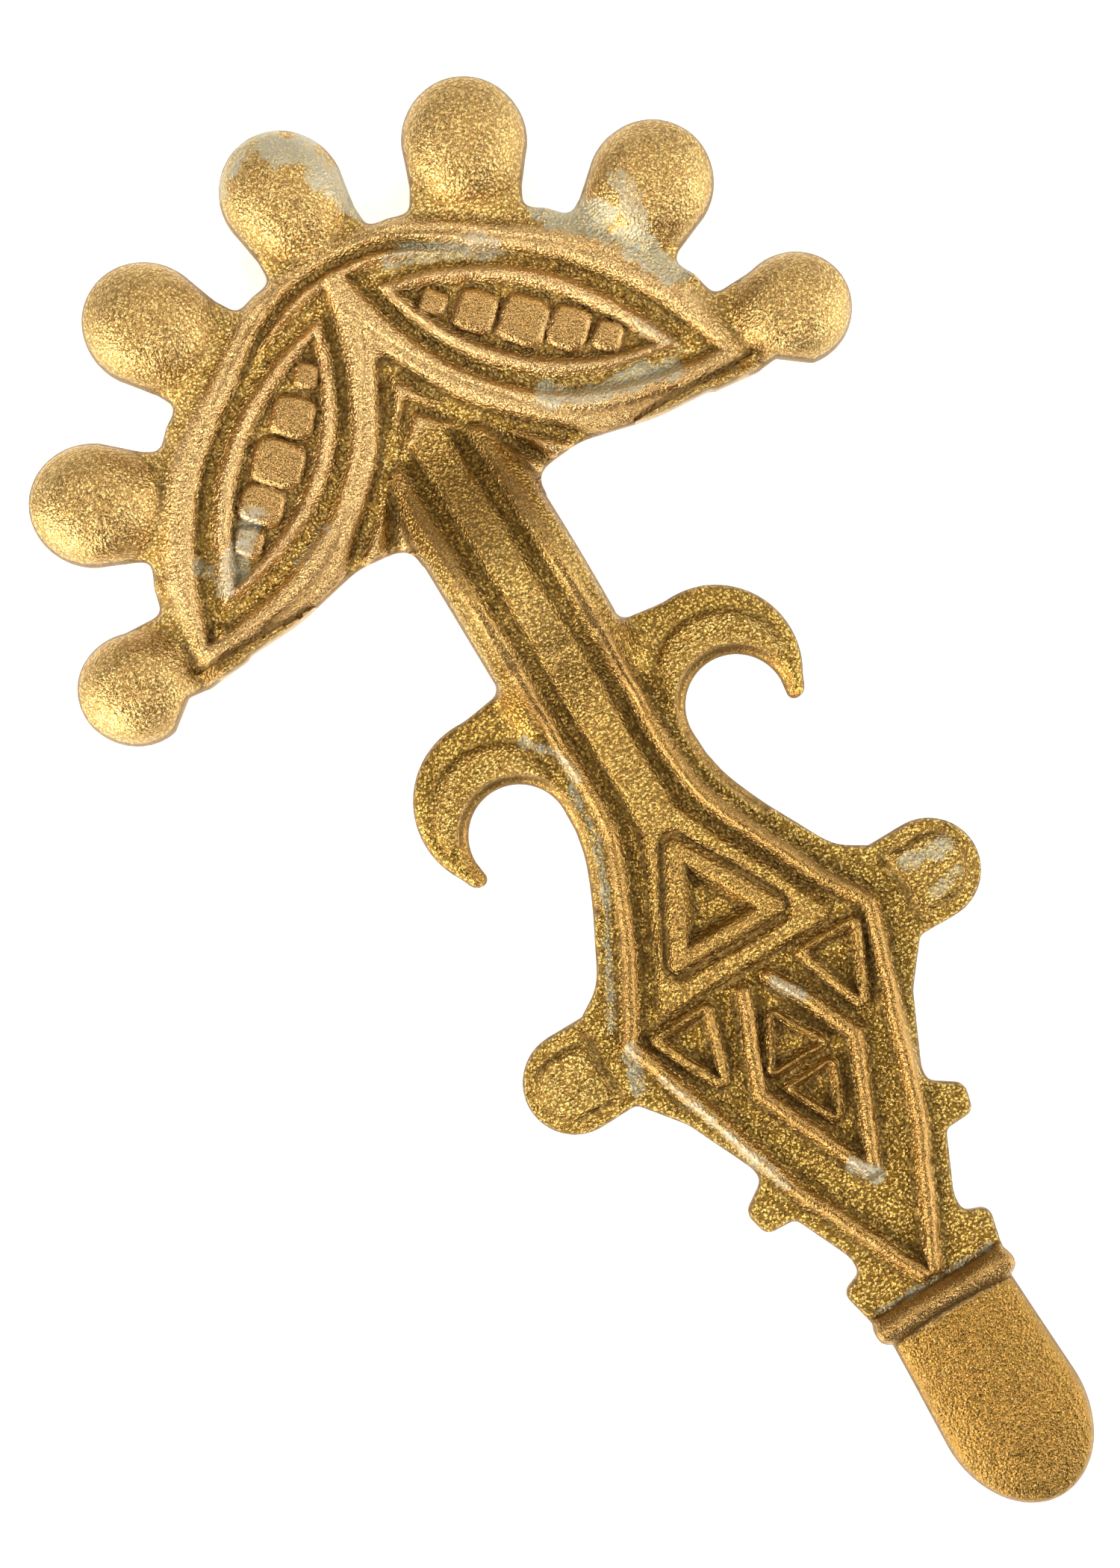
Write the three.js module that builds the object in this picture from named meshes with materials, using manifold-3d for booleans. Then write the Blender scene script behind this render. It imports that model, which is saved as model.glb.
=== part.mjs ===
// A radiate-headed bow brooch (fibula) with its spring and pin, in millimetres.
// +Y runs from the tongue to the middle knob, +X to the right of the front, +Z out of the front.
// The brooch lies on its back: z = 0 is the level of the two lugs' and the catch-plate's undersides.
import * as THREE from 'three';
import { mergeVertices } from 'three/addons/utils/BufferGeometryUtils.js';
import Module from 'manifold-3d';

const manifoldLibrary = await Module();
manifoldLibrary.setup();

// ---------- driving dimensions ----------
const BACK = 5.6;              // height of the plates' flat back above the resting level
const GROUND = BACK + 1.55;    // sunk ground of the relief
const CREST = BACK + 2.1;      // top of the ridges
const MARGIN = BACK + 1.65;    // the head-plate's margin outside its carved field
const EDGE = 0.3;              // rounding of the plates' edges
const LEAN = 0.0165;           // the head-plate's right side hangs this much lower, per mm
const LEAN_START = 10.5;
const LEAN_FULL = 18.5;

const HEAD = { y: 19.4, rx: 18.35, ry: 17.35, base: 19.3 };
const KNOB = { count: 7, ring: 21.2, topRing: 21.05, step: 28.9, r: 3.5, sideR: 3.2,
  rise: 2.9, neck: 3.1, endNeck: 1.75 };
const BOW = { half: 3.9, start: 5.5, end: 24.6, peak: 15.2, rise: 4.4, skirt: 4.4,
  step: 1.1 };
const SPAN = { y: 15.1, half: 4.7, rise: 4.05, width: 10 };   // the tunnel under the bow
const HOOK = { x: 7.0, y: 5.2, r: 4.85, innerX: 7.05, innerY: 3.0, innerR: 2.85 };
const LOBE = { x: 11.5, y: -10.35, r: 2.9 };
const COLLAR = { y: -31.0, half: 4.4, r: 0.95, top: 1.55 };
const TONGUE = { half: 4.15, y: -38.6, end: 5.35, rise: 2.35 };
const LUG = { x: 6.1, y: 29, thick: 1.6, half: 2.0, hole: 1.05 };
const AXLE = { z: 3.1, r: 0.75, half: 8.1, headR: 1.25, head: 0.9 };
const WIRE = { r: 0.55, coilR: 1.6, turns: 3, pitch: 1.25, first: 0.6, chord: 2.7, tipY: -21, catchZ: 1.9 };
const CATCH = { front: -13.6, back: -20.0, wall: 1.0, gap: 1.0, floor: 0.9, lip: 2.7 };

// ---------- outlines ----------
const arc = (x, y, r, from, to, steps) => {
  const points = [];
  for (let i = 0; i <= steps; i += 1) {
    const a = THREE.MathUtils.degToRad(from + ((to - from) * i) / steps);
    points.push([x + r * Math.cos(a), y + r * Math.sin(a)]);
  }
  return points;
};

// Corner points [x, y, radius] become a list in which each corner with a radius is a short arc.
function rounded(corners, closed = true, perArc = 5) {
  const out = [];
  const count = corners.length;
  corners.forEach(([x, y, radius], i) => {
    const inside = closed || (i > 0 && i < count - 1);
    if (!radius || !inside) {
      out.push([x, y]);
      return;
    }
    const here = new THREE.Vector2(x, y);
    const before = new THREE.Vector2(...corners[(i + count - 1) % count]).sub(here);
    const after = new THREE.Vector2(...corners[(i + 1) % count]).sub(here);
    const half = Math.acos(before.dot(after) / before.length() / after.length()) / 2;
    const reach = Math.min(radius / Math.tan(half), before.length() * 0.49, after.length() * 0.49);
    const turn = Math.PI - 2 * half;
    const centre = before.clone().normalize().add(after.clone().normalize())
      .setLength(reach / Math.cos(half)).add(here);
    const spoke = before.clone().setLength(reach).add(here).sub(centre);
    const way = Math.sign(before.cross(after)) || 1;
    for (let k = 0; k <= perArc; k += 1) {
      const p = spoke.clone().rotateAround(new THREE.Vector2(), (way * -turn * k) / perArc).add(centre);
      out.push([p.x, p.y]);
    }
  });
  return out;
}

const flip = (points) => points.map(([x, y, r]) => [-x, y, r]).reverse();
const vectors = (points) => points.map(([x, y]) => new THREE.Vector2(x, y));

function shapeOf(points, holes = []) {
  const outline = vectors(points);
  const shape = new THREE.Shape(THREE.ShapeUtils.isClockWise(outline) ? outline.reverse() : outline);
  shape.holes = holes.map((hole) => new THREE.Path(vectors(hole)));
  return shape;
}

const twoSided = (rightSide) => [...rightSide, ...flip(rightSide)];

// A pointed oval between two tips; left and right are the sagittas of its two sides.
function lens(tipA, tipB, left, right, steps = 6) {
  const a = new THREE.Vector2(...tipA);
  const b = new THREE.Vector2(...tipB);
  const along = b.clone().sub(a);
  const across = new THREE.Vector2(-along.y, along.x).normalize();
  const side = (from, way, sag) => {
    const points = [];
    for (let i = 0; i < steps; i += 1) {
      const t = i / steps;
      const p = from.clone().addScaledVector(way, t).addScaledVector(across, 4 * sag * t * (1 - t));
      points.push([p.x, p.y]);
    }
    return points;
  };
  return [...side(a, along, left), ...side(b, along.clone().negate(), -right)];
}

// Moves every side of a closed outline inwards by d and joins the moved sides again.
function inset(points, d) {
  const ring = points.map(([x, y]) => new THREE.Vector2(x, y));
  const way = THREE.ShapeUtils.isClockWise(ring) ? -1 : 1;
  return ring.map((here, i) => {
    const a = here.clone().sub(ring[(i + ring.length - 1) % ring.length]).normalize();
    const b = ring[(i + 1) % ring.length].clone().sub(here).normalize();
    const normal = new THREE.Vector2(-a.y - b.y, a.x + b.x).multiplyScalar(way).normalize();
    const lean = Math.max(0.35, normal.dot(new THREE.Vector2(-a.y, a.x).multiplyScalar(way)));
    const p = here.clone().addScaledVector(normal, d / lean);
    return [p.x, p.y];
  });
}

// A strip of constant width along an open line.
function strip(points, width) {
  const line = points.map(([x, y]) => new THREE.Vector2(x, y));
  const sides = [1, -1].map((way) => line.map((here, i) => {
    const a = here.clone().sub(line[Math.max(0, i - 1)]).normalize();
    const b = line[Math.min(line.length - 1, i + 1)].clone().sub(here).normalize();
    const normal = new THREE.Vector2(-a.y - b.y, a.x + b.x).normalize();
    const one = i > 0 ? a : b;
    const lean = Math.max(0.5, normal.dot(new THREE.Vector2(-one.y, one.x)));
    const p = here.clone().addScaledVector(normal, (way * width) / 2 / lean);
    return [p.x, p.y];
  }));
  return [...sides[0], ...sides[1].reverse()];
}

const curve = (points, steps) => new THREE.SplineCurve(points.map(([x, y]) => new THREE.Vector2(x, y)))
  .getPoints(steps).map((p) => [p.x, p.y]);

// ---------- solids ----------
function solid(geometry) {
  const bare = geometry.clone();
  bare.deleteAttribute('normal');
  bare.deleteAttribute('uv');
  const merged = mergeVertices(bare, 1e-6);
  return new manifoldLibrary.Manifold(new manifoldLibrary.Mesh({
    numProp: 3,
    vertProperties: new Float32Array(merged.attributes.position.array),
    triVerts: new Uint32Array(merged.index.array),
  }));
}

function geometryOf(body, change = (x, y, z) => [x, y, z]) {
  const mesh = body.getMesh();
  const positions = new Float32Array(mesh.vertProperties.length);
  for (let i = 0; i < positions.length; i += 3) {
    positions.set(change(...mesh.vertProperties.subarray(i, i + 3)), i);
  }
  const geometry = new THREE.BufferGeometry();
  geometry.setAttribute('position', new THREE.BufferAttribute(positions, 3));
  geometry.setIndex(new THREE.BufferAttribute(new Uint32Array(mesh.triVerts), 1));
  return geometry;
}

// An outline standing from one height to another, with its upper and lower edges eased by ease.
function slab(outline, low, high, ease, { holes = [], easeIn = ease, segments = 1 } = {}) {
  const geometry = new THREE.ExtrudeGeometry(shapeOf(outline, holes), {
    depth: high - low - 2 * ease,
    bevelEnabled: ease > 0,
    bevelThickness: ease,
    bevelSize: easeIn,
    bevelOffset: -easeIn,
    bevelSegments: segments,
    curveSegments: 1,
  });
  return solid(geometry.translate(0, 0, low + ease));
}

// Raised work grows out of the ground; sunk work is cut down to it.
const raised = (outline, { holes = [], top = CREST, ease = 0.2 } = {}) =>
  slab(outline, GROUND - 0.7, top, ease, { holes });

function sunk(outline, holes = [], floor = GROUND) {
  const deep = 2;
  const cutter = new THREE.ExtrudeGeometry(shapeOf(outline, holes), {
    depth: deep, bevelEnabled: true, bevelThickness: 0.3, bevelSize: 0.2, bevelOffset: -0.2,
    bevelSegments: 1, curveSegments: 1 });
  return solid(cutter.translate(0, 0, floor + 0.3));
}

const dome = (x, y, rx, ry, centre, rise, sides = 14, rings = 6) =>
  solid(new THREE.SphereGeometry(1, sides, rings).rotateX(Math.PI / 2).scale(rx, ry, rise)
    .translate(x, y, centre));

const joined = (bodies) => manifoldLibrary.Manifold.union(bodies);

// ---------- the head-plate ----------
const knobs = [];
for (let i = 0; i < KNOB.count; i += 1) {
  const middle = (KNOB.count - 1) / 2;
  const angle = THREE.MathUtils.degToRad(90 + (middle - i) * KNOB.step);
  const ring = i === middle ? KNOB.topRing : KNOB.ring;
  const r = i === 0 || i === KNOB.count - 1 ? KNOB.sideR : KNOB.r;
  const lower = i === 0 ? KNOB.endNeck : KNOB.neck;      // the two end knobs are cut in under their necks
  const upper = i === KNOB.count - 1 ? KNOB.endNeck : KNOB.neck;
  knobs.push({ angle, r, lower, upper, x: ring * Math.cos(angle), y: HEAD.y + ring * Math.sin(angle) });
}

const lowerSide = [
  [0, HEAD.base - 1.5], [BOW.half, HEAD.base - 1.5], [BOW.half, HEAD.base - 1],
  ...rounded([[BOW.half, 17.8], [4.1, 19.9, 1.8], [7.2, 20.2, 4], [11.5, 19.2, 12], [17.6, 18.85]], false, 3),
];
const headRight = [...lowerSide,
  ...arc(0, HEAD.y, 1, 8, 90, 10).map(([x, y]) => [x * HEAD.rx, HEAD.y + (y - HEAD.y) * HEAD.ry])];
const fieldRight = [...lowerSide.slice(0, -1), [17.1, 18.9],
  ...curve([[17.3, 20.6], [16.8, 24.5], [15.4, 27.3], [13.4, 30.0], [9.6, 32.7], [5.0, 35.7], [0, 37.0]], 10)];

// Each knob stands on a neck nearly as wide as itself; neighbouring necks meet in a round valley.
function knobStem({ angle, r, lower, upper, x, y }) {
  const inwards = 6.2;
  const flare = (neck) => neck + (neck === KNOB.neck ? 0.9 : -0.4);
  const stem = [[-inwards, -flare(upper)], [-r - 0.5, -upper - 0.05], [-r * 0.75, -upper],
    ...arc(0, 0, r, -105, 105, 10), [-r * 0.75, lower], [-r - 0.5, lower + 0.05], [-inwards, flare(lower)]];
  const flat = slab(stem, BACK, GROUND + 0.1, EDGE);
  const barrel = solid(new THREE.SphereGeometry(1, 10, 6).rotateX(Math.PI / 2)
    .scale(5.2, Math.min(lower, upper) * 0.9, 2.3).translate(-2.4, (lower - upper) / 2, BACK));
  return joined([flat, barrel])
    .rotate([0, 0, THREE.MathUtils.radToDeg(angle)])
    .translate([x, y, 0]);
}

const ovalTips = { outer: [[0.7, 34.6], [16.35, 20.75]], frame: [[1.9, 33.3], [14.6, 22.0]],
  inner: [[2.6, 32.5], [13.4, 22.8]] };
const BEADS = [[4.05, 30.9, 0.7, 0.65], [5.85, 29.3, 1.05, 1.1], [7.9, 27.5, 1.2, 1.25],
  [9.85, 25.9, 0.95, 1.1], [11.45, 24.5, 0.65, 0.7]];

function headPlate() {
  const plate = joined([slab(twoSided(headRight), BACK, MARGIN, EDGE),
    slab(twoSided(fieldRight), BACK, CREST, 0.25)]);
  const cuts = [sunk(rounded([[-2.95, 15], [2.95, 15], [2.95, 23.6, 0.8], [0, 25.2, 1.2], [-2.95, 23.6, 0.8]],
    true, 3))];
  const beads = [];
  [1, -1].forEach((side) => {
    const put = (points) => (side > 0 ? points : flip(points));
    const [outerA, outerB] = ovalTips.outer;
    const [frameA, frameB] = ovalTips.frame;
    const [innerA, innerB] = ovalTips.inner;
    cuts.push(sunk(put(lens(outerA, outerB, 3.3, 4.3)), [put(lens(frameA, frameB, 2.6, 3.2))]));
    cuts.push(sunk(put(lens(innerA, innerB, 1.75, 2.1))));
    const chevron = curve([[0.1, 29.6], [2.2, 26.2], [4.6, 23.4], [7.6, 21.3]], 8);
    cuts.push(sunk(put(strip(chevron, 0.85))));
    const inner = curve([[0.1, 26.3], [2.4, 24.0], [3.6, 22.2], [4.4, 20.6]], 6);
    cuts.push(sunk(put(strip(inner, 0.8))));
    cuts.push(sunk(put(strip(curve([[0, 35.55], [2.6, 35.3], [5.0, 34.4]], 4), 0.7))));
    BEADS.forEach(([x, y, rx, ry]) => {
      beads.push(dome(0, 0, rx, ry, GROUND - 0.15, 0.75, 8, 4)
        .rotate([0, 0, side * 47]).translate([side * x, y, 0]));
    });
  });
  const domes = knobs.map(({ x, y, r }) => dome(x, y, r * 0.98, r * 0.98, BACK + 0.35, KNOB.rise));
  return joined([plate.subtract(joined(cuts)), ...beads, ...knobs.map(knobStem), ...domes]);
}

// ---------- the foot-plate with its hooks, lobes, nubs and shoulder ----------
const footRight = [
  ...rounded([[0, 11.6], [BOW.half - 0.05, 11.6], [BOW.half - 0.02, 10.4, 1.1], [5.9, 10.1]], false, 3),
  ...arc(HOOK.x, HOOK.y, HOOK.r, 95, -32, 10),
  ...rounded([[11.2, 2.9], [10.7, 1.65, 0.6], [9.75, 1.6, 0.6], [9.85, 2.9]], false, 3).slice(1, -1),
  ...arc(HOOK.innerX, HOOK.innerY, HOOK.innerR, 0, 180, 9),
  ...curve([[4.25, 1.6], [4.6, 0], [5.4, -2], [6.5, -4.2], [7.7, -6.3], [9.3, -7.45]], 6),
  ...arc(LOBE.x, LOBE.y, LOBE.r, 90, -90, 8),
  ...rounded([[11.0, -13.25], [9.2, -13.2, 0.5], [7.3, -15.6, 3],
    [5.45, -19.6, 4], [5.45, -20.4, 0.8], [7.1, -21.5, 0.7], [6.7, -23.1, 0.6], [4.9, -23.2, 0.5],
    [3.35, -26.6, 3], [3.4, -27.6, 0.5], [4.75, -28.1, 0.6], [4.2, -30.4]], false, 3),
  [4.1, -31.2], [0, -31.2],
];

// The lozenge is two bent arms that meet at the bottom and stay apart at the top.
const LOZENGE = [[[0.8, -10.75], [2.2, -13.4], [3.35, -16.0], [0.2, -23.1]],
  [[-0.85, -10.8], [-2.1, -13.7], [-2.95, -16.1], [0.1, -23.1]]];

const TRIANGLES = [
  { points: [[-5.0, -9.4], [5.1, -9.4], [1.75, -1.6], [0.05, 0.9], [-1.65, -1.6]], width: 0.85 },
  { points: [[-3.5, -7.6], [3.65, -7.6], [0.02, -1.5]], width: 0.9 },
  { points: [[-6.6, -10.4], [-3.0, -10.4], [-4.5, -14.9]], width: 0.6 },
  { points: [[6.6, -10.4], [2.95, -10.4], [4.65, -14.9]], width: 0.6 },
  { points: [[0, -12.2], [1.95, -15.75], [-1.85, -15.75]], width: 0.5 },
  { points: [[-1.9, -16.5], [1.85, -16.5], [0, -20.0]], width: 0.5 },
];

function footPlate() {
  const plate = slab(footRight.concat(flip(footRight)), BACK, GROUND, EDGE);
  const work = [];
  TRIANGLES.forEach(({ points, width }) => {
    const outer = rounded(points.map(([x, y]) => [x, y, 0.6]), true, 2);
    work.push(raised(outer, { holes: [inset(points, width)], ease: width * 0.22 }));
  });
  LOZENGE.forEach((arm) => work.push(raised(strip(arm, 0.9))));
  [1, -1].forEach((side) => {
    const put = (points) => (side > 0 ? points : flip(points));
    const frame = [...curve([[2.5, 7.5], [2.45, 3.6], [2.75, 0.2], [4.2, -3.4], [5.9, -7.0], [7.75, -10.1]], 9),
      [4.0, -21.6], [0.35, -29.3]];
    work.push(raised(put(strip(frame, 0.95))));
    const crescent = [...arc(7.2, 4.75, 3.62, -10, 140, 8), ...arc(HOOK.innerX, HOOK.innerY, 3.4, 152, 26, 7)];
    work.push(raised(put(crescent), { top: GROUND + 0.55 }));
    work.push(raised(put(rounded([[10.0, -8.6], [13.5, -8.6, 1.7], [13.5, -12.15, 1.7], [10.0, -12.15]], true, 3)),
      { top: GROUND + 0.5 }));
  });
  const collar = solid(new THREE.CapsuleGeometry(COLLAR.r, 2 * (COLLAR.half - COLLAR.r), 3, 12)
    .rotateZ(Math.PI / 2).scale(1, 1, 1.75).translate(0, COLLAR.y, BACK + COLLAR.top));
  const end = arc(0, 0, 1, 0, -90, 9).map(([x, y]) => [x * TONGUE.half, TONGUE.y + y * TONGUE.end]);
  const tongueRight = [[0, COLLAR.y], [TONGUE.half - 0.35, COLLAR.y], [TONGUE.half - 0.2, -34.5], ...end];
  const tongue = slab(tongueRight.concat(flip(tongueRight)), BACK - TONGUE.rise, BACK + TONGUE.rise, 1.1,
    { easeIn: 1.5, segments: 3 });
  return joined([plate, ...work, collar, tongue]);
}

// ---------- the arched bow ----------
const bowRise = (y) => {
  const t = THREE.MathUtils.clamp((y - BOW.start) / (BOW.end - BOW.start), 0, 1);
  const skew = Math.log(0.5) / Math.log((BOW.peak - BOW.start) / (BOW.end - BOW.start));
  return BOW.rise * Math.sin(Math.PI * t ** skew) ** 2;
};

function bow() {
  const rib = CREST - GROUND;
  const half = [[0, rib], [1.05, rib], [1.2, 0], [1.95, 0], [2.1, rib], [2.85, rib], [3.15, 0.1], [3.45, 0],
    [BOW.half, -0.6], [BOW.half, -BOW.skirt]];
  // The path starts level along +Y, where a sweep turns a section's x downwards and its y to the side.
  const section = shapeOf([...half, ...flip(half).slice(0, -1)].map(([x, z]) => [-z, x]));
  const points = [];
  for (let y = 0.5; y <= BOW.end + 0.01; y += BOW.step) {
    points.push(new THREE.Vector3(0, y, GROUND + bowRise(y)));
  }
  const sweep = new THREE.ExtrudeGeometry(section, {
    steps: points.length - 1, bevelEnabled: false, extrudePath: new THREE.CatmullRomCurve3(points),
  });
  const span = new THREE.Shape();
  span.moveTo(SPAN.y + SPAN.half, -8);
  span.lineTo(SPAN.y + SPAN.half, 0);
  span.absellipse(SPAN.y, 0, SPAN.half, SPAN.rise, 0, Math.PI, false);
  span.lineTo(SPAN.y - SPAN.half, -8);
  const tunnel = new THREE.ExtrudeGeometry(span, { depth: SPAN.width, bevelEnabled: false, curveSegments: 8 });
  tunnel.rotateY(Math.PI / 2).rotateX(Math.PI / 2).translate(-SPAN.width / 2, 0, BACK);
  return { sweep: solid(sweep), tunnel: solid(tunnel) };
}

// ---------- the back: lugs, axle, sprung pin and catch-plate ----------
function lugs() {
  const root = GROUND - 0.8;
  const side = rounded([[-LUG.half, root], [-LUG.half, 0, 0.9], [LUG.half, 0, 0.9], [LUG.half, root]], true, 4);
  const hole = solid(new THREE.CylinderGeometry(LUG.hole, LUG.hole, 20, 20).rotateZ(Math.PI / 2)
    .translate(0, LUG.y, AXLE.z));
  const plates = [1, -1].map((way) => slab(side, -LUG.thick / 2, LUG.thick / 2, 0.25)
    .rotate([90, 0, 90]).translate([way * LUG.x, LUG.y, 0]));
  return joined(plates).subtract(hole);
}

function catchPlate() {
  const { wall, gap, floor, lip } = CATCH;
  const top = GROUND - 0.8;
  const hook = rounded([[-gap - wall, top], [-gap - wall, 0, 0.4], [gap + wall * 0.9, 0, 0.8],
    [gap + wall * 0.9, lip, 0.45], [gap, lip, 0.35], [gap, floor, 0.5], [-gap, floor, 0.5], [-gap, top]], true, 3);
  return slab(hook, CATCH.back, CATCH.front, 0.15).rotate([90, 0, 0]).mirror([0, 1, 0]);
}

function axle() {
  const { r, half, head, headR } = AXLE;
  const inner = half - head;
  const profile = [[0, -half], [headR * 0.8, -half], [headR, -half + head * 0.3], [headR, -inner], [r, -inner],
    [r, inner], [headR, inner], [headR, half - head * 0.3], [headR * 0.8, half], [0, half]];
  return new THREE.LatheGeometry(vectors(profile), 12).rotateZ(Math.PI / 2).translate(0, LUG.y, AXLE.z);
}

// One wire winds outwards on the left, crosses to the right, winds back in and becomes the pin.
function sprungPin() {
  const { r, coilR, turns, pitch, first, chord, tipY, catchZ } = WIRE;
  const perTurn = 10;
  const far = first + turns * pitch;
  const at = (x, degrees, radius = coilR) => {
    const a = THREE.MathUtils.degToRad(degrees);
    return new THREE.Vector3(x, LUG.y + radius * Math.cos(a), AXLE.z + radius * Math.sin(a));
  };
  const path = [];
  for (let i = 0; i <= turns * perTurn; i += 1) {
    path.push(at(-first - (i / perTurn) * pitch, -(i / perTurn) * 360));
  }
  path.push(at(-far * 0.75, -40, chord), at(0, -45, chord), at(far * 0.75, -40, chord));
  const back = (turns - 0.25) * perTurn;                // the right coil ends under the axle
  for (let i = 0; i <= back; i += 1) {
    path.push(at(far - (i / back) * (far - first), -(i / perTurn) * 360));
  }
  const section = shapeOf(arc(0, 0, r, 0, 300, 5));
  const sweep = (points, steps) => solid(new THREE.ExtrudeGeometry(section, {
    steps, bevelEnabled: false, extrudePath: new THREE.CatmullRomCurve3(points),
  }));
  const low = AXLE.z - coilR;
  const tip = 3.5;
  const stem = sweep([new THREE.Vector3(first, LUG.y + 0.3, low), new THREE.Vector3(first * 0.8, 22, low + 0.05),
    new THREE.Vector3(0, CATCH.front, catchZ), new THREE.Vector3(0, tipY + tip, catchZ)], 8);
  const point = solid(new THREE.CylinderGeometry(0.12, r * 0.96, tip + 0.4, 6).rotateX(Math.PI)
    .translate(0, tipY + (tip + 0.4) / 2, catchZ));
  return joined([sweep(path, 64), stem, point]);
}

// ---------- the finished object ----------
const group = new THREE.Group();
group.name = 'fibula_brooch';

function add(name, geometry, color, roughness) {
  const mesh = new THREE.Mesh(geometry, new THREE.MeshStandardMaterial({ color, metalness: 1, roughness }));
  mesh.name = name;
  group.add(mesh);
}

const { sweep, tunnel } = bow();
const front = joined([headPlate(), footPlate(), sweep]).subtract(tunnel).trimByPlane([0, 0, 1], BACK);
const lean = (x, y, z) => [x, y - LEAN * x * THREE.MathUtils.smoothstep(y, LEAN_START, LEAN_FULL), z];
const fused = 0.01;            // facets that differ by less than this become one
const body = joined([solid(geometryOf(front, lean)), lugs(), catchPlate()]).simplify(fused);
add('brooch_casting', geometryOf(body), 0xb08a3e, 0.38);
add('spring_axle', axle(), 0x8d7136, 0.45);
add('sprung_pin', geometryOf(sprungPin()), 0xa98742, 0.3);

export default group;
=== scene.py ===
# A radiate-headed bow brooch (fibula), cast in brass, lying face up on a pale studio table.
# Sizes are in millimetres until a mesh is made; +Y runs from the tongue to the middle knob.
import math

import bpy
import bmesh
import numpy as np
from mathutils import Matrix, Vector
from mathutils.geometry import delaunay_2d_cdt


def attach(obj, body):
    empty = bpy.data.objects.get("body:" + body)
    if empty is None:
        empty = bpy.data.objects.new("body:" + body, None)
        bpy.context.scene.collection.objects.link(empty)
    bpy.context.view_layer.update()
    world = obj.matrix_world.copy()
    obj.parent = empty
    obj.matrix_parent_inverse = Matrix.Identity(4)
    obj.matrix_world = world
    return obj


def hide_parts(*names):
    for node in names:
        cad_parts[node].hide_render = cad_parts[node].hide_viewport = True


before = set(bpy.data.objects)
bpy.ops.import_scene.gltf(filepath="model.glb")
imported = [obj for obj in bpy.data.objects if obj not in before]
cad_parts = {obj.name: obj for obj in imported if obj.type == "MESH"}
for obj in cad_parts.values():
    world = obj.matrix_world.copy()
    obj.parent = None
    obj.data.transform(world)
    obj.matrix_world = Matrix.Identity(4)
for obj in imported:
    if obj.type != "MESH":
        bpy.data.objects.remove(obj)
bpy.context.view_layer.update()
MM = 0.001


def placed(name, data):
    made = bpy.data.objects.new(name, data)
    bpy.context.collection.objects.link(made)
    return made


# ---------- camera ----------
BACK = 5.6                    # height of the plates' flat back
VIEW = {"aim": (-3.64, 4.31), "turn": -31.0, "seen": 86.84, "lens": 100.0, "sensor": 36.0}

camera_data = bpy.data.cameras.new("studio_camera")
camera_data.lens = VIEW["lens"]
camera_data.sensor_width = VIEW["sensor"]
camera_data.clip_start = 0.01
camera = placed("studio_camera", camera_data)
away = VIEW["seen"] * VIEW["lens"] / VIEW["sensor"]
camera.location = (VIEW["aim"][0] * MM, VIEW["aim"][1] * MM, (BACK + 2.0 + away) * MM)
camera.rotation_euler = (0, 0, math.radians(VIEW["turn"]))
bpy.context.scene.camera = camera

# ---------- heights above the flat back ----------
GROUND = 1.55                 # sunk ground of the relief
CREST = 2.1                   # top of the ridges
EDGE = 0.45                   # rounding of the plates' upper edge
UNDER_EDGE = 0.25
LEAN = 0.0165                 # the head-plate's right side hangs this much lower, per mm
LEAN_START = 10.5
LEAN_FULL = 18.5

HEAD = {"y": 19.4, "rx": 18.35, "ry": 17.35, "base": 19.3}
KNOB = {"count": 7, "ring": 21.2, "top_ring": 21.05, "step": 28.9, "r": 3.5, "side_r": 3.2,
        "neck": 3.1, "end_neck": 1.75}
BOW = {"half": 3.9, "start": 5.5, "end": 24.6, "peak": 15.2, "rise": 4.4}
SPAN = {"y": 15.1, "half": 4.7, "rise": 4.05}
HOOK = {"x": 7.0, "y": 5.2, "r": 4.85, "inner_x": 7.05, "inner_y": 3.0, "inner_r": 2.85}
LOBE = {"x": 11.5, "y": -10.35, "r": 2.9}
COLLAR = {"y": -31.0, "half": 4.4, "r": 0.95, "top": 1.55}
TONGUE = {"half": 4.15, "y": -38.6, "end": 5.35, "rise": 2.35}
LUG = {"x": 6.1, "y": 29.0, "thick": 1.6, "half": 2.0, "hole": 1.05}
AXLE = {"z": 3.1, "r": 0.75, "half": 8.1, "head_r": 1.25, "head": 0.9}
WIRE = {"r": 0.55, "coil_r": 1.6, "turns": 3, "pitch": 1.25, "first": 0.6, "chord": 2.7,
        "tip_y": -21.0, "catch_z": 1.9}
CATCH = {"front": -13.6, "back": -20.0, "wall": 1.0, "gap": 1.0, "floor": 0.9, "lip": 2.7}

FINE = 0.146                  # spacing of the front's mesh
COARSE = 0.65                 # spacing of the back's mesh
SPAN_STEP = 0.3               # spacing of the back's mesh under the bow
LOOP = 0.14                   # spacing along the outline
SHARP = math.radians(50)      # faces that meet at more than this keep a sharp edge


# ---------- lines and outlines ----------
def smooth(t):
    t = np.clip(t, 0.0, 1.0)
    return t * t * (3 - 2 * t)


def arc(x, y, r, start, end, steps=24):
    angles = np.radians(np.linspace(start, end, steps + 1))
    return [(x + r * math.cos(a), y + r * math.sin(a)) for a in angles]


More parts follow.
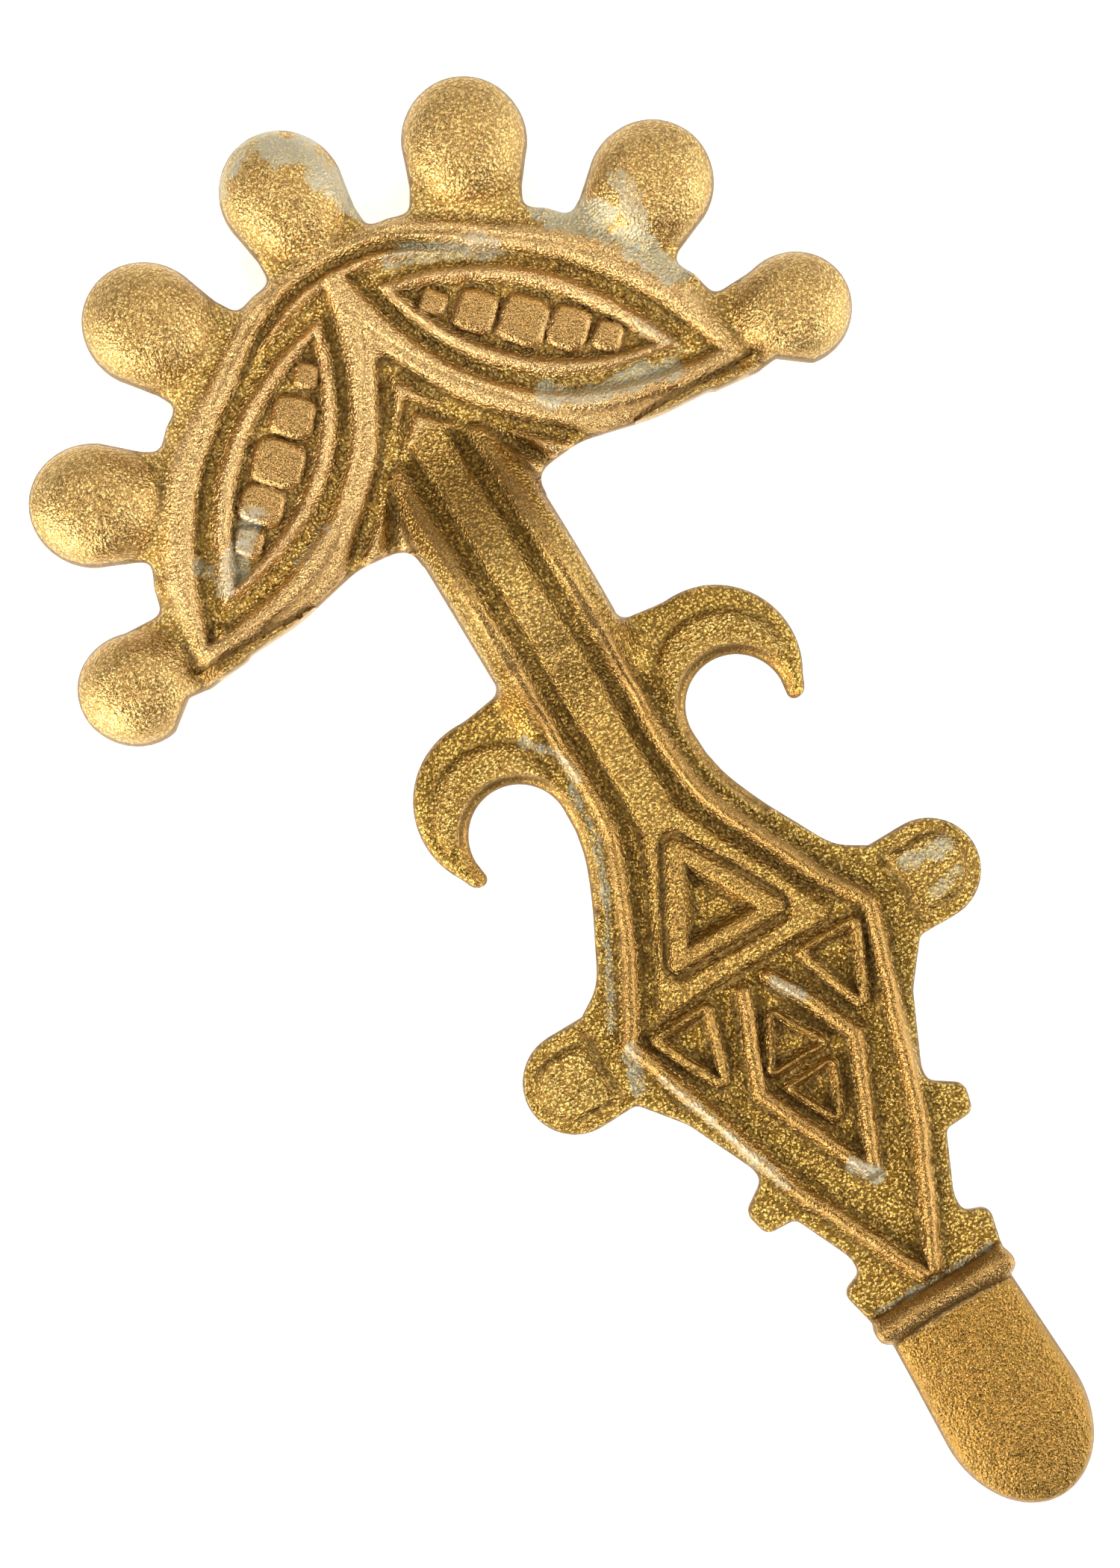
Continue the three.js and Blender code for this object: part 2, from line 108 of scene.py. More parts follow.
def rounded(corners, closed=True, per_arc=8):
    """Corners (x, y, radius); each corner with a radius becomes a short arc."""
    out = []
    count = len(corners)
    for i, corner in enumerate(corners):
        here = np.array(corner[:2], float)
        if len(corner) < 3 or (not closed and i in (0, count - 1)):
            out.append(tuple(here))
            continue
        before = np.array(corners[i - 1][:2]) - here
        after = np.array(corners[(i + 1) % count][:2]) - here
        long_a, long_b = np.linalg.norm(before), np.linalg.norm(after)
        half = math.acos(np.dot(before, after) / long_a / long_b) / 2
        reach = min(corner[2] / math.tan(half), long_a * 0.49, long_b * 0.49)
        middle = before / long_a + after / long_b
        centre = here + middle / np.linalg.norm(middle) * reach / math.cos(half)
        spoke = here + before / long_a * reach - centre
        turn = (math.pi - 2 * half) * (1 if before[0] * after[1] - before[1] * after[0] < 0 else -1)
        for k in range(per_arc + 1):
            a = turn * k / per_arc
            out.append((centre[0] + spoke[0] * math.cos(a) - spoke[1] * math.sin(a),
                        centre[1] + spoke[0] * math.sin(a) + spoke[1] * math.cos(a)))
    return out


def flip(points):
    return [(-p[0], *p[1:]) for p in reversed(points)]


def curve(points, steps=24):
    """A smooth line through a few points."""
    p = np.array([points[0], *points, points[-1]], float)
    p[0] = 2 * p[1] - p[2]
    p[-1] = 2 * p[-2] - p[-3]
    out = []
    for k in range(steps + 1):
        at = k / steps * (len(points) - 1)
        i = min(int(at), len(points) - 2)
        t = at - i
        a, b, c, d = p[i:i + 4]
        out.append(tuple(0.5 * (2 * b + (c - a) * t + (2 * a - 5 * b + 4 * c - d) * t ** 2
                                + (3 * b - a - 3 * c + d) * t ** 3)))
    return out


def lens(tip_a, tip_b, left, right, steps=24):
    """A pointed oval between two tips; left and right are the sagittas of its two sides."""
    a, b = np.array(tip_a), np.array(tip_b)
    along = b - a
    across = np.array((-along[1], along[0])) / np.linalg.norm(along)
    t = np.linspace(0, 1, steps, endpoint=False)[:, None]
    bulge = 4 * t * (1 - t) * across
    return [tuple(p) for p in np.vstack((a + along * t + left * bulge, b - along * t - right * bulge))]


def line_distance(line, x, y):
    best = np.full(x.shape, 1e3)
    for (ax, ay), (bx, by) in zip(line[:-1], line[1:]):
        dx, dy = bx - ax, by - ay
        t = np.clip(((x - ax) * dx + (y - ay) * dy) / max(dx * dx + dy * dy, 1e-12), 0, 1)
        best = np.minimum(best, np.hypot(x - ax - t * dx, y - ay - t * dy))
    return best


def outline_distance(ring, x, y):
    """Distance to a closed outline, positive inside it."""
    closed = [*ring, ring[0]]
    inside = np.zeros(x.shape, bool)
    for (ax, ay), (bx, by) in zip(closed[:-1], closed[1:]):
        if ay != by:
            crosses = ((ay > y) != (by > y)) & (x < (bx - ax) * (y - ay) / (by - ay) + ax)
            inside ^= crosses
    return np.where(inside, 1, -1) * line_distance(closed, x, y)


def softened_distance(corners, x, y):
    return outline_distance(rounded([(*corner, 0.5) for corner in corners]), x, y)


def soft_max(a, b, k):
    blend = np.clip(0.5 + 0.5 * (a - b) / k, 0, 1)
    return b + (a - b) * blend + k * blend * (1 - blend)


def bow_rise(y):
    t = np.clip((y - BOW["start"]) / (BOW["end"] - BOW["start"]), 0, 1)
    skew = math.log(0.5) / math.log((BOW["peak"] - BOW["start"]) / (BOW["end"] - BOW["start"]))
    return BOW["rise"] * np.sin(math.pi * t ** skew) ** 2


knobs = []
for i in range(KNOB["count"]):
    middle = (KNOB["count"] - 1) / 2
    angle = math.radians(90 + (middle - i) * KNOB["step"])
    ring = KNOB["top_ring"] if i == middle else KNOB["ring"]
    knobs.append({"angle": angle, "x": ring * math.cos(angle), "y": HEAD["y"] + ring * math.sin(angle),
                  "r": KNOB["side_r"] if i in (0, KNOB["count"] - 1) else KNOB["r"],
                  "lower": KNOB["end_neck"] if i == 0 else KNOB["neck"],
                  "upper": KNOB["end_neck"] if i == KNOB["count"] - 1 else KNOB["neck"]})

head_right = [
    (0, HEAD["base"] - 1.5), (BOW["half"], HEAD["base"] - 1.5), (BOW["half"], HEAD["base"] - 1),
    *rounded([(BOW["half"], 17.8), (4.1, 19.9, 1.8), (7.2, 20.2, 4), (11.5, 19.2, 12), (17.6, 18.85)], False),
    *[(x * HEAD["rx"], HEAD["y"] + y * HEAD["ry"]) for x, y in arc(0, 0, 1, 8, 90, 30)],
]

foot_right = [
    *rounded([(0, 11.6), (BOW["half"] - 0.05, 11.6), (BOW["half"] - 0.02, 10.4, 1.1), (5.9, 10.1)], False),
    *arc(HOOK["x"], HOOK["y"], HOOK["r"], 95, -32, 30),
    *rounded([(11.2, 2.9), (10.7, 1.65, 0.6), (9.75, 1.6, 0.6), (9.85, 2.9)], False)[1:-1],
    *arc(HOOK["inner_x"], HOOK["inner_y"], HOOK["inner_r"], 0, 180, 26),
    *curve([(4.25, 1.6), (4.6, 0), (5.4, -2), (6.5, -4.2), (7.7, -6.3), (9.3, -7.45)]),
    *arc(LOBE["x"], LOBE["y"], LOBE["r"], 90, -90, 24),
    *rounded([(11.0, -13.25), (9.2, -13.2, 0.5), (7.3, -15.6, 3), (5.45, -19.6, 4), (5.45, -20.4, 0.8),
              (7.1, -21.5, 0.7), (6.7, -23.1, 0.6), (4.9, -23.2, 0.5), (3.35, -26.6, 3), (3.4, -27.6, 0.5),
              (4.75, -28.1, 0.6), (4.2, -30.4)], False),
    (4.1, -31.2), (0, -31.2),
]
bow_strip = [(-BOW["half"], 10.5), (BOW["half"], 10.5), (BOW["half"], 19.0), (-BOW["half"], 19.0)]
collar_outline = [*arc(COLLAR["half"] - COLLAR["r"], COLLAR["y"], COLLAR["r"], 90, -90),
                  *arc(COLLAR["r"] - COLLAR["half"], COLLAR["y"], COLLAR["r"], 270, 90)]
tongue_right = [(0, COLLAR["y"]), (TONGUE["half"] - 0.35, COLLAR["y"]), (TONGUE["half"] - 0.2, -34.5),
                *[(x * TONGUE["half"], TONGUE["y"] + y * TONGUE["end"]) for x, y in arc(0, 0, 1, 0, -90)]]


def knob_place(knob, x, y):
    """Places along and across a knob's own axis, from its centre outwards."""
    ca, sa = math.cos(knob["angle"]), math.sin(knob["angle"])
    return ((x - knob["x"]) * ca + (y - knob["y"]) * sa, (y - knob["y"]) * ca - (x - knob["x"]) * sa)


def knob_stem(knob):
    r, upper, lower = knob["r"], knob["upper"], knob["lower"]
    flare = {neck: neck + (0.9 if neck == KNOB["neck"] else -0.4) for neck in (upper, lower)}
    return [(-6.2, -flare[upper]), (-r - 0.5, -upper - 0.05), (-r * 0.75, -upper),
            *arc(0, 0, r, -105, 105), (-r * 0.75, lower), (-r - 0.5, lower + 0.05), (-6.2, flare[lower])]


def plan_distance(x, y):
    """Distance to the whole outline of the casting, positive inside, before the head leans."""
    head = outline_distance(head_right + flip(head_right), x, y)
    for knob in knobs:
        head = soft_max(head, outline_distance(knob_stem(knob), *knob_place(knob, x, y)), 0.5)
    foot = outline_distance(foot_right + flip(foot_right), x, y)
    foot = np.maximum(foot, outline_distance(collar_outline, x, y))
    foot = np.maximum(foot, outline_distance(tongue_right + flip(tongue_right), x, y))
    return np.maximum(np.maximum(head, foot), outline_distance(bow_strip, x, y))


# ---------- the relief ----------
SHOULDER = [(-3.0, 36.9), (0.0, 37.0), (5.0, 35.7), (9.6, 32.7), (13.4, 30.0), (15.4, 27.3), (16.8, 24.5),
            (17.4, 21.0)]
OVALS = [((0.7, 34.6), (16.35, 20.75), 3.3, 4.3), ((1.9, 33.3), (14.6, 22.0), 2.6, 3.2),
         ((2.6, 32.5), (13.4, 22.8), 1.75, 2.1)]
BEADS = [(4.05, 30.9, 0.75, 0.7), (5.85, 29.3, 1.15, 1.2), (7.9, 27.5, 1.35, 1.4), (9.85, 25.9, 1.1, 1.25),
         (11.5, 24.45, 0.8, 0.85)]
BEAD_TURN = 47
CHEVRONS = [([(0.0, 29.3), (1.3, 26.9), (2.4, 25.1), (4.1, 23.2), (6.3, 21.2), (7.9, 19.7)], 0.95),
            ([(0.0, 26.6), (2.2, 24.3), (3.5, 22.6), (4.6, 20.8), (5.2, 19.4)], 0.75),
            ([(0, 35.55), (2.6, 35.2), (5.0, 34.1), (7.0, 32.6)], 0.6)]
ENGRAVED = [([(0.3, 31.2), (1.35, 29.2), (2.7, 27.0), (4.3, 25.0), (6.1, 23.1), (8.9, 21.0),
              (13.2, 19.9)], 0.13),
            ([(2.2, 36.2), (5.6, 34.7), (9.6, 31.9), (12.9, 29.2), (14.7, 26.9), (16.0, 24.3)], 0.1)]
BAND = [(-1.08, 14.0), (-1.08, -0.2), (-1.7, -1.9), (-5.6, -9.75), (5.8, -9.7), (2.1, -1.9), (1.2, 0.2),
        (1.2, 14.0)]
MIDDLE = [(-3.95, -8.1), (3.85, -8.1), (0.0, -0.95)]
RINGS = [([(-7.0, -10.2), (-2.5, -10.2), (-4.35, -15.7)], 0.6),
         ([(7.1, -10.2), (2.5, -10.2), (4.4, -15.8)], 0.6),
         ([(-0.2, -11.9), (2.15, -15.8), (-2.4, -15.8)], 0.5),
         ([(-1.95, -16.3), (1.95, -16.3), (0, -20.3)], 0.5)]
LOZENGE = [([(0.8, -10.75), (2.2, -13.4), (3.35, -16.0), (0.35, -22.9)], 0.9),
           ([(-0.85, -10.8), (-2.1, -13.7), (-2.95, -16.1), (0.0, -22.9)], 0.9)]
RIM_LINE = [(2.55, 14.0), (2.55, 7.5), (2.5, 3.6), (2.75, 0.2), (4.2, -3.4), (5.9, -7.0), (7.75, -10.1)]
RIM_END = [(4.0, -21.6), (0.35, -29.3)]

SEAM = [(-0.3, 43.6), (-0.15, 41.0), (-0.4, 38.9), (-0.1, 37.0), (-0.3, 34.8), (-0.45, 33.0), (0.0, 31.0)]
NODULES = [(-15.45, 21.05, 0.4), (8.9, 9.75, 0.3), (-3.4, 24.6, 0.2), (5.2, 26.2, 0.18)]
PITS = [(-12.6, 31.3, 0.22), (-2.6, 7.0, 0.25), (2.6, 10.1, 0.28), (2.4, 1.9, 0.18), (4.1, 28.8, 0.16)]
CRUST = [([(0.9, 42.6), (2.4, 41.6), (2.7, 39.2)], 1.0, 1.0), ([(2.6, 38.6), (3.3, 37.2)], 0.6, 0.7),
         ([(-2.9, 42.2), (-1.2, 43.3), (1.2, 43.5)], 0.6, 0.6), ([(12.2, 32.0), (14.6, 30.2)], 1.1, 0.9),
         ([(14.9, 29.0), (16.4, 25.6)], 0.9, 0.8), ([(16.2, 31.6), (16.0, 28.9)], 0.7, 0.6),
         ([(3.4, 34.0), (6.0, 33.3), (8.4, 31.9)], 0.7, 0.6), ([(13.2, 24.2), (14.6, 21.8)], 0.35, 0.5),
         ([(6.6, 23.4), (9.2, 21.9), (13.4, 21.2)], 0.65, 0.75),
         ([(-13.9, 22.9), (-12.2, 24.4), (-10.6, 25.6)], 0.75, 0.7),
         ([(-14.6, 24.8), (-13.9, 22.6)], 0.4, 0.6), ([(-9.6, 22.0), (-7.6, 22.9)], 0.4, 0.5),
         ([(-3.3, 3.8), (-3.4, 1.0), (-4.5, -2.0), (-6.3, -5.4), (-8.2, -8.8)], 0.26, 0.6),
         ([(-7.2, -12.6), (-5.8, -17.0), (-4.3, -21.4)], 0.3, 0.5),
         ([(-7.9, -10.4), (-8.6, -12.4)], 0.55, 0.6),
         ([(10.6, -9.3), (12.8, -9.5)], 0.6, 0.6), ([(10.8, -11.6), (12.7, -11.2)], 0.4, 0.5),
         ([(0.9, -11.2), (1.8, -12.6)], 0.35, 0.6),
         ([(-0.5, -22.4), (0.1, -23.3)], 0.6, 0.75), ([(-3.6, -29.9), (3.6, -29.9)], 0.25, 0.5),
         ([(-4.1, 7.2), (-3.0, 6.0), (-2.7, 4.2)], 0.35, 0.6)]

rng = np.random.default_rng(7)
noise_table = rng.random((256, 256))


def waves(x, y, size, layer=0):
    """Soft random hills between -1 and 1, about one size apart."""
    u, v = x / size + 91.7 * layer + 400, y / size + 37.3 * layer + 400
    i, j = np.floor(u).astype(int), np.floor(v).astype(int)
    s, t = smooth(u - i), smooth(v - j)
    low = noise_table[j % 256, i % 256] * (1 - s) + noise_table[j % 256, (i + 1) % 256] * s
    high = noise_table[(j + 1) % 256, i % 256] * (1 - s) + noise_table[(j + 1) % 256, (i + 1) % 256] * s
    return 2 * (low * (1 - t) + high * t) - 1


def set_level(height, level, distance, soft=0.5):
    """Brings the surface to a level wherever the distance is positive, over a soft step."""
    return height + (level - height) * smooth(distance / soft + 0.5)


class Front:
    """The front's surface: its height above the flat back, how granular, how worn, and how much painted dark
    reflection it carries.
    """
    steps = None                # while this is a list, every step's distance and softness is kept in it

    def __init__(self, shape, level, grain, worn, dark_reflection=0.0):
        self.height = np.full(shape, level)
        self.grain = np.full(shape, grain)
        self.worn = np.full(shape, worn)
        self.dark_reflection = np.full(shape, dark_reflection)

    def shape(self, distance, level=None, grain=None, worn=None, soft=0.5, dark_reflection=None):
        if level is not None:
            self.height = set_level(self.height, level, distance, soft)
            if Front.steps is not None:
                Front.steps.append((distance, soft))
        for name, mark in (("grain", grain), ("worn", worn), ("dark_reflection", dark_reflection)):
            if mark is not None:
                setattr(self, name, set_level(getattr(self, name), mark, distance, 0.3))

    def ridge(self, line, width, x, y, level=CREST, soft=0.55, crown=0.14):
        """A round-topped ridge along an open line; its crown is the extra height in the middle."""
        distance = width / 2 - line_distance(line, x, y)
        self.shape(distance, level, 0.2, 1, soft)
        self.height += crown * smooth(distance / (width / 2)) - crown * 0.3 * (distance > 0)

    def over(self, other, mask):
        for name in ("height", "grain", "worn", "dark_reflection"):
            mine = getattr(self, name)
            setattr(self, name, mine + (getattr(other, name) - mine) * mask)


def head_front(x, y):
    ax = np.abs(x)
    front = Front(x.shape, 1.65, 0.9, 0.2)
    below = 15.0
    shoulder = outline_distance([*curve(SHOULDER), (SHOULDER[-1][0], below), (SHOULDER[0][0], below)], ax, y)
    front.shape(shoulder, CREST - 0.05, 0.42, 0.75, 0.8)
    patches = smooth(0.5 + 1.2 * waves(x, y, 3.1, 14)) * smooth((x * 0.3 - 1) ** 2 / 4)
    combed = np.sin(2 * math.pi * shoulder / 0.4) * patches
    front.height += 0.022 * combed * smooth((1.6 - np.abs(shoulder)) / 0.6)
    outer, framed, inner = (outline_distance(lens(*oval), ax, y) for oval in OVALS)
    front.height += 0.12 * np.exp(-((outer + 0.75) / 0.45) ** 2)
    front.shape(outer, 1.45, 1, 0, 0.6)
    front.shape(framed, CREST - 0.1, 0.38, 0.85, 0.65)
    front.height += 0.16 * smooth(np.minimum(framed, -inner) / 0.7) * (framed > 0)
    front.shape(inner, 1.45, 1, 0, 0.6)
    for line, width in CHEVRONS:
        front.shape(width / 2 - line_distance(curve(line), ax, y), 1.45, 1, 0)
    for line, depth in ENGRAVED:
        cut = smooth(1 - line_distance(curve(line), ax + 0.06 * waves(x, y, 0.8, 13), y) / 0.26)
        front.height -= depth * cut
    turn = math.radians(BEAD_TURN)
    for bx, by, rx, ry in BEADS:
        along = (ax - bx) * math.cos(turn) - (y - by) * math.sin(turn)
        across = (ax - bx) * math.sin(turn) + (y - by) * math.cos(turn)
        away = ((np.abs(along) / rx) ** 3.4 + (np.abs(across) / ry) ** 3.4) ** (1 / 3.4) / 1.06
        bead = 1.35 + 0.5 * np.clip(1 - away ** 7, 0, 1) ** 0.5
        front.height = np.maximum(front.height, bead)
        front.shape((1 - away) * rx, grain=0.2, worn=1.0, dark_reflection=0.6)
    return front


def knob_front(front, x, y):
    """Each knob is a broad dome that sinks into a saddle before it meets the plate."""
    for knob in knobs:
        u, v = knob_place(knob, x, y)
        r = knob["r"]
        far = np.hypot(u / np.where(u > 0, r, r * 1.15), v / r) / 1.01
        dome = 0.7 + 2.3 * np.clip(1 - far ** 2.9, 0, 1) ** 0.58 - 0.22 * (np.clip(u / r, -1, 1) * 0.3 + 0.1)
        side = (v - (knob["lower"] - knob["upper"]) / 2) / ((knob["lower"] + knob["upper"]) / 2)
        neck = 1.75 - 0.75 * np.clip(np.abs(side), 0, 1.15) ** 3
        saddle = soft_max(dome, neck, 0.8)
        blend = smooth((u + 5.0) / 2.0) * smooth((4.6 - np.abs(v)) / 0.8)
        front.height = front.height + (saddle - front.height) * blend
        front.grain = front.grain + (0.7 - 0.38 * smooth((1.05 - far) / 0.3) - front.grain) * blend
        front.worn = front.worn + (0.15 + 0.35 * smooth((1.1 - far) / 0.3) - front.worn) * blend
        front.dark_reflection = front.dark_reflection + (0.25 - front.dark_reflection) * blend


def bow_front(x, y):
    ax = np.abs(x)
    rib = CREST - GROUND
    front = Front(x.shape, GROUND, 0.6, 0.5, 0.75)
    stations = [0, 0.85, 1.25, 1.85, 2.3, 2.8, 3.15, 3.5, 3.9]
    front.height = GROUND + bow_rise(y) + np.interp(ax, stations, [rib, rib, 0, 0, rib, rib, 0.2, -0.1, -0.8])
    front.grain = np.interp(ax, stations, [0.5, 0.5, 1, 1, 0.25, 0.25, 0.8, 0.9, 0.5])
    front.worn = np.interp(ax, stations, [0.4, 0.4, 0, 0, 0.8, 0.8, 0.3, 0.2, 0.5])
    for end, edge in ((22.6, 1.2), (24.9, 0.6)):
        front.grain = front.grain + (1 - front.grain) * smooth((y - end) / edge + 0.5) * 0.8
    return front


def foot_front(x, y, depth):
    ax = np.abs(x)
    front = Front(x.shape, GROUND, 1, 0, 0.85)
    line = [*curve(RIM_LINE), *RIM_END]
    front.ridge(line, 0.95, ax, y)
    centre = softened_distance(BAND, x, y)
    front.shape(centre, CREST, 0.5, 0.5, 0.42)
    middle = softened_distance(MIDDLE, x, y)
    front.shape(middle + 0.5, CREST - 0.35, 0.6, 0.4, 0.3)
    front.shape(middle, CREST + 0.06, 0.45, 0.7, 0.45)
    notches = 0.05 * np.sin(1.9 * math.pi * (x * 0.43 + y * 0.9))
    front.height += notches * smooth(middle / 0.2) * (x < -0.3) * (y > -7.0)
    front.shape(middle - 1.15, GROUND - 0.3, 0.9, 0, 0.75)
    for ring, width in RINGS:
        distance = softened_distance(ring, x, y)
        distance = width / 2 - np.abs(distance - width / 2)
        front.shape(distance, CREST - 0.08, 0.3, 0.8, 0.38)
        front.height += 0.08 * smooth(distance / (width / 2))
    for line, width in LOZENGE:
        front.ridge(line, width, x, y, soft=0.42)
    crescent = [*arc(7.2, 4.75, 3.62, -10, 140), *arc(HOOK["inner_x"], HOOK["inner_y"], 3.4, 152, 26)]
    pad = rounded([(10.0, -8.6), (13.5, -8.6, 1.7), (13.5, -12.15, 1.7), (10.0, -12.15)])
    leg = outline_distance([(2.95, 7.5), (4.2, 7.0), (4.2, 3.0), (5.2, -2.0), (8.6, -7.5), (7.4, -9.0),
                            (3.9, -3.0), (2.95, 1.0)], ax, y)
    on_hook = outline_distance([(3.6, 12.5), (12.5, 12.5), (12.5, 1.0), (4.6, 1.0), (3.1, 7.5)], ax, y)
    front.shape(np.minimum(on_hook, -leg), GROUND - 0.1, 0.35, 0.25, 1.0, 1.0)
    for form, rise in ((crescent, 0.35), (pad, 0.2)):
        field = outline_distance(form, ax, y)
        front.shape(field, GROUND + rise, 0.95, 0.1, 0.6, 0.5)
        front.height += 0.12 * smooth(field / 0.9)
    front.height -= 0.22 * smooth(1.3 - np.hypot((x - 12.1) / 1.1, (y + 10.7) / 0.8))
    lobe = np.hypot(ax - LOBE["x"], y - LOBE["y"]) - LOBE["r"]
    groove = np.where((ax > 9.4) & (lobe < 0), 0.35 - np.abs(outline_distance(pad, ax, y) + 0.35), -1)
    front.shape(groove, GROUND - 0.2, 0.5, 0.3, 0.4)
    bend = outline_distance([(3.0, 6.6), (10.4, 6.6), (10.4, 2.0), (7.0, -3.0), (3.0, -3.0)], ax, y)
    front.shape(np.minimum(0.5 - depth, bend), GROUND - 0.45, 0.2, 0.8, 0.3)
    front.height += bow_rise(y) * smooth((4.6 - ax) / 1.6)
    return front


def tongue_front(x, y):
    side = x / TONGUE["half"]
    end = np.clip((TONGUE["y"] - y) / TONGUE["end"], 0, 1)
    front = Front(x.shape, 0, 0.45, 0.9, 1.0)
    front.height = 1.2 + 1.1 * np.sqrt(np.clip(1 - side ** 2 - end ** 2 * 0.9, 0, 1))
    ripple = np.sin(2 * math.pi * np.hypot(x + 3.0, (y + 40.0) * 0.9) / 0.42)
    front.height += 0.016 * ripple * smooth((x + 0.4) / 1.0) * smooth((-35.0 - y) / 2.0)
    return front


def relief(x, y, depth):
    """The whole front at the given places; depth is how far they are inside the outline."""
    x = x + 0.05 * waves(x, y, 1.7, 1) + 0.03 * waves(x, y, 0.7, 2)
    y = y + 0.05 * waves(x, y, 1.9, 3) + 0.03 * waves(x, y, 0.8, 4)
    front = head_front(x, y)
    front.over(foot_front(x, y, depth), smooth((12.5 - y) / 2.5))
    front.over(tongue_front(x, y), np.where(y < COLLAR["y"], 1.0, 0.0))
    half_round = np.sqrt(np.clip(1 - ((y - COLLAR["y"]) / COLLAR["r"]) ** 2, 0, 1))
    on_collar = np.abs(y - COLLAR["y"]) < COLLAR["r"]
    collar_height = np.maximum(front.height, COLLAR["top"] + 1.6 * half_round - 0.4)
    for name, value in (("height", collar_height), ("grain", 0.35), ("worn", 0.9), ("dark_reflection", 0.7)):
        setattr(front, name, np.where(on_collar, value, getattr(front, name)))
    pocket = rounded([(-3.9, 2.0), (3.9, 2.0), (3.9, 20.0), (2.95, 23.6, 0.8), (0, 25.2, 1.2),
                      (-2.95, 23.6, 0.8), (-3.9, 20.0)])
    on_bow = smooth(outline_distance(pocket, x, y) / 0.5 + 0.5)
    on_bow = np.where((y > 11) & (y < 19.5), 1.0, on_bow) * smooth((y - 9.0) / 2.5)
    front.over(bow_front(x, y), on_bow)
    knob_front(front, x, y)
    front.height += 0.05 * waves(x, y, 2.6, 5) + 0.02 * waves(x, y, 0.9, 6)
    front.height += front.grain * (0.03 * waves(x, y, 0.3, 7) + 0.02 * waves(x, y, 0.45, 8))
    seam = line_distance(SEAM, x + 0.12 * waves(x, y, 0.5, 9), y)
    front.height += 0.09 * smooth(1 - seam / 0.16)
    for nx, ny, r in NODULES:
        front.height += r * 0.9 * np.sqrt(np.clip(1 - ((x - nx) ** 2 + (y - ny) ** 2) / r ** 2, 0, 1))
    for rx, ry, r in PITS:
        front.height += 0.07 * smooth(1 - np.abs(np.hypot(x - rx, y - ry) - r) / 0.14)
    return front


def patina(x, y):
    """How much pale grey-green crust covers each place."""
    cover = np.zeros(x.shape)
    for line, width, strength in CRUST:
        away = line_distance(line, x, y) / width + 0.45 * waves(x, y, 0.8, 11) + 0.25 * waves(x, y, 0.35, 12)
        cover = np.maximum(cover, strength * smooth(1.6 - away * 1.2))
    return cover


# ---------- meshing ----------
def lattice(step):
    """Places on a triangular lattice over the whole plan."""
    row = step * math.sqrt(3) / 2
    ys = np.arange(-44.5, 44.5, row)
    xs = np.arange(-25.0, 25.0, step)
    x, y = np.meshgrid(xs, ys)
    x[1::2] += step / 2
    return x.ravel(), y.ravel()


GRID = 0.15                   # spacing of the prepared plan
grid_x = np.arange(-25.5, 25.5 + GRID, GRID)
grid_y = np.arange(-45.0, 45.0 + GRID, GRID)
plan = plan_distance(*np.meshgrid(grid_x, grid_y))


def plan_at(x, y):
    """The outline's distance, read off the prepared plan."""
    u, v = (x - grid_x[0]) / GRID, (y - grid_y[0]) / GRID
    i = np.clip(u.astype(int), 0, len(grid_x) - 2)
    j = np.clip(v.astype(int), 0, len(grid_y) - 2)
    u, v = u - i, v - j
    return ((plan[j, i] * (1 - u) + plan[j, i + 1] * u) * (1 - v)
            + (plan[j + 1, i] * (1 - u) + plan[j + 1, i + 1] * u) * v)


def trace_outline():
    """Walks round the plan's zero line and gives it back as evenly spaced places."""
    inside = plan > 0
    places, links = {}, {}

    def crossing(j, i, vertical):
        key = (j, i, vertical)
        if key not in places:
            a, b = plan[j, i], plan[j + 1, i] if vertical else plan[j, i + 1]
            t = a / (a - b)
            places[key] = (grid_x[i] + (0 if vertical else t * GRID),
                           grid_y[j] + (t * GRID if vertical else 0))
        return key

    mixed = inside[:-1, :-1].astype(int) + inside[1:, :-1] + inside[:-1, 1:] + inside[1:, 1:]
    for j, i in zip(*np.nonzero((mixed > 0) & (mixed < 4))):
        sides = ((j, i, False), (j + 1, i, False), (j, i, True), (j, i + 1, True))
        ends = [crossing(v, u, up) for v, u, up in sides
                if inside[v, u] != (inside[v + 1, u] if up else inside[v, u + 1])]
        for a, b in zip(ends[::2], ends[1::2]):
            links.setdefault(a, []).append(b)
            links.setdefault(b, []).append(a)
    loops, left = [], set(links)
    while left:
        start = here = next(iter(sorted(left)))
        before, loop = None, []
        while True:
            loop.append(places[here])
            left.discard(here)
            following = [k for k in links[here] if k != before]
            before, here = here, following[0] if following else start
            if here == start:
                break
        loops.append(loop)
    longest = max(loops, key=len)
    loop = np.array(longest + [longest[0]])
    run = np.concatenate(([0], np.cumsum(np.hypot(*np.diff(loop, axis=0).T))))
    at = np.linspace(0, run[-1], int(run[-1] / LOOP), endpoint=False)
    loop = np.column_stack((np.interp(at, run, loop[:, 0]), np.interp(at, run, loop[:, 1])))
    area = np.sum(loop[:, 0] * np.roll(loop[:, 1], -1) - loop[:, 1] * np.roll(loop[:, 0], -1))
    return loop if area > 0 else loop[::-1]


outline = trace_outline()


def triangulate(inner):
    """Triangles over the outline's inside, with the outline's places first."""
    count = len(outline)
    places = [Vector(p) for p in outline.tolist()] + [Vector(p) for p in inner.tolist()]
    links = [(i, (i + 1) % count) for i in range(count)]
    found = delaunay_2d_cdt(places, links, [], 1, 1e-7)
    origin = np.array([o[0] for o in found[3]])
    return origin[np.array(found[2])]


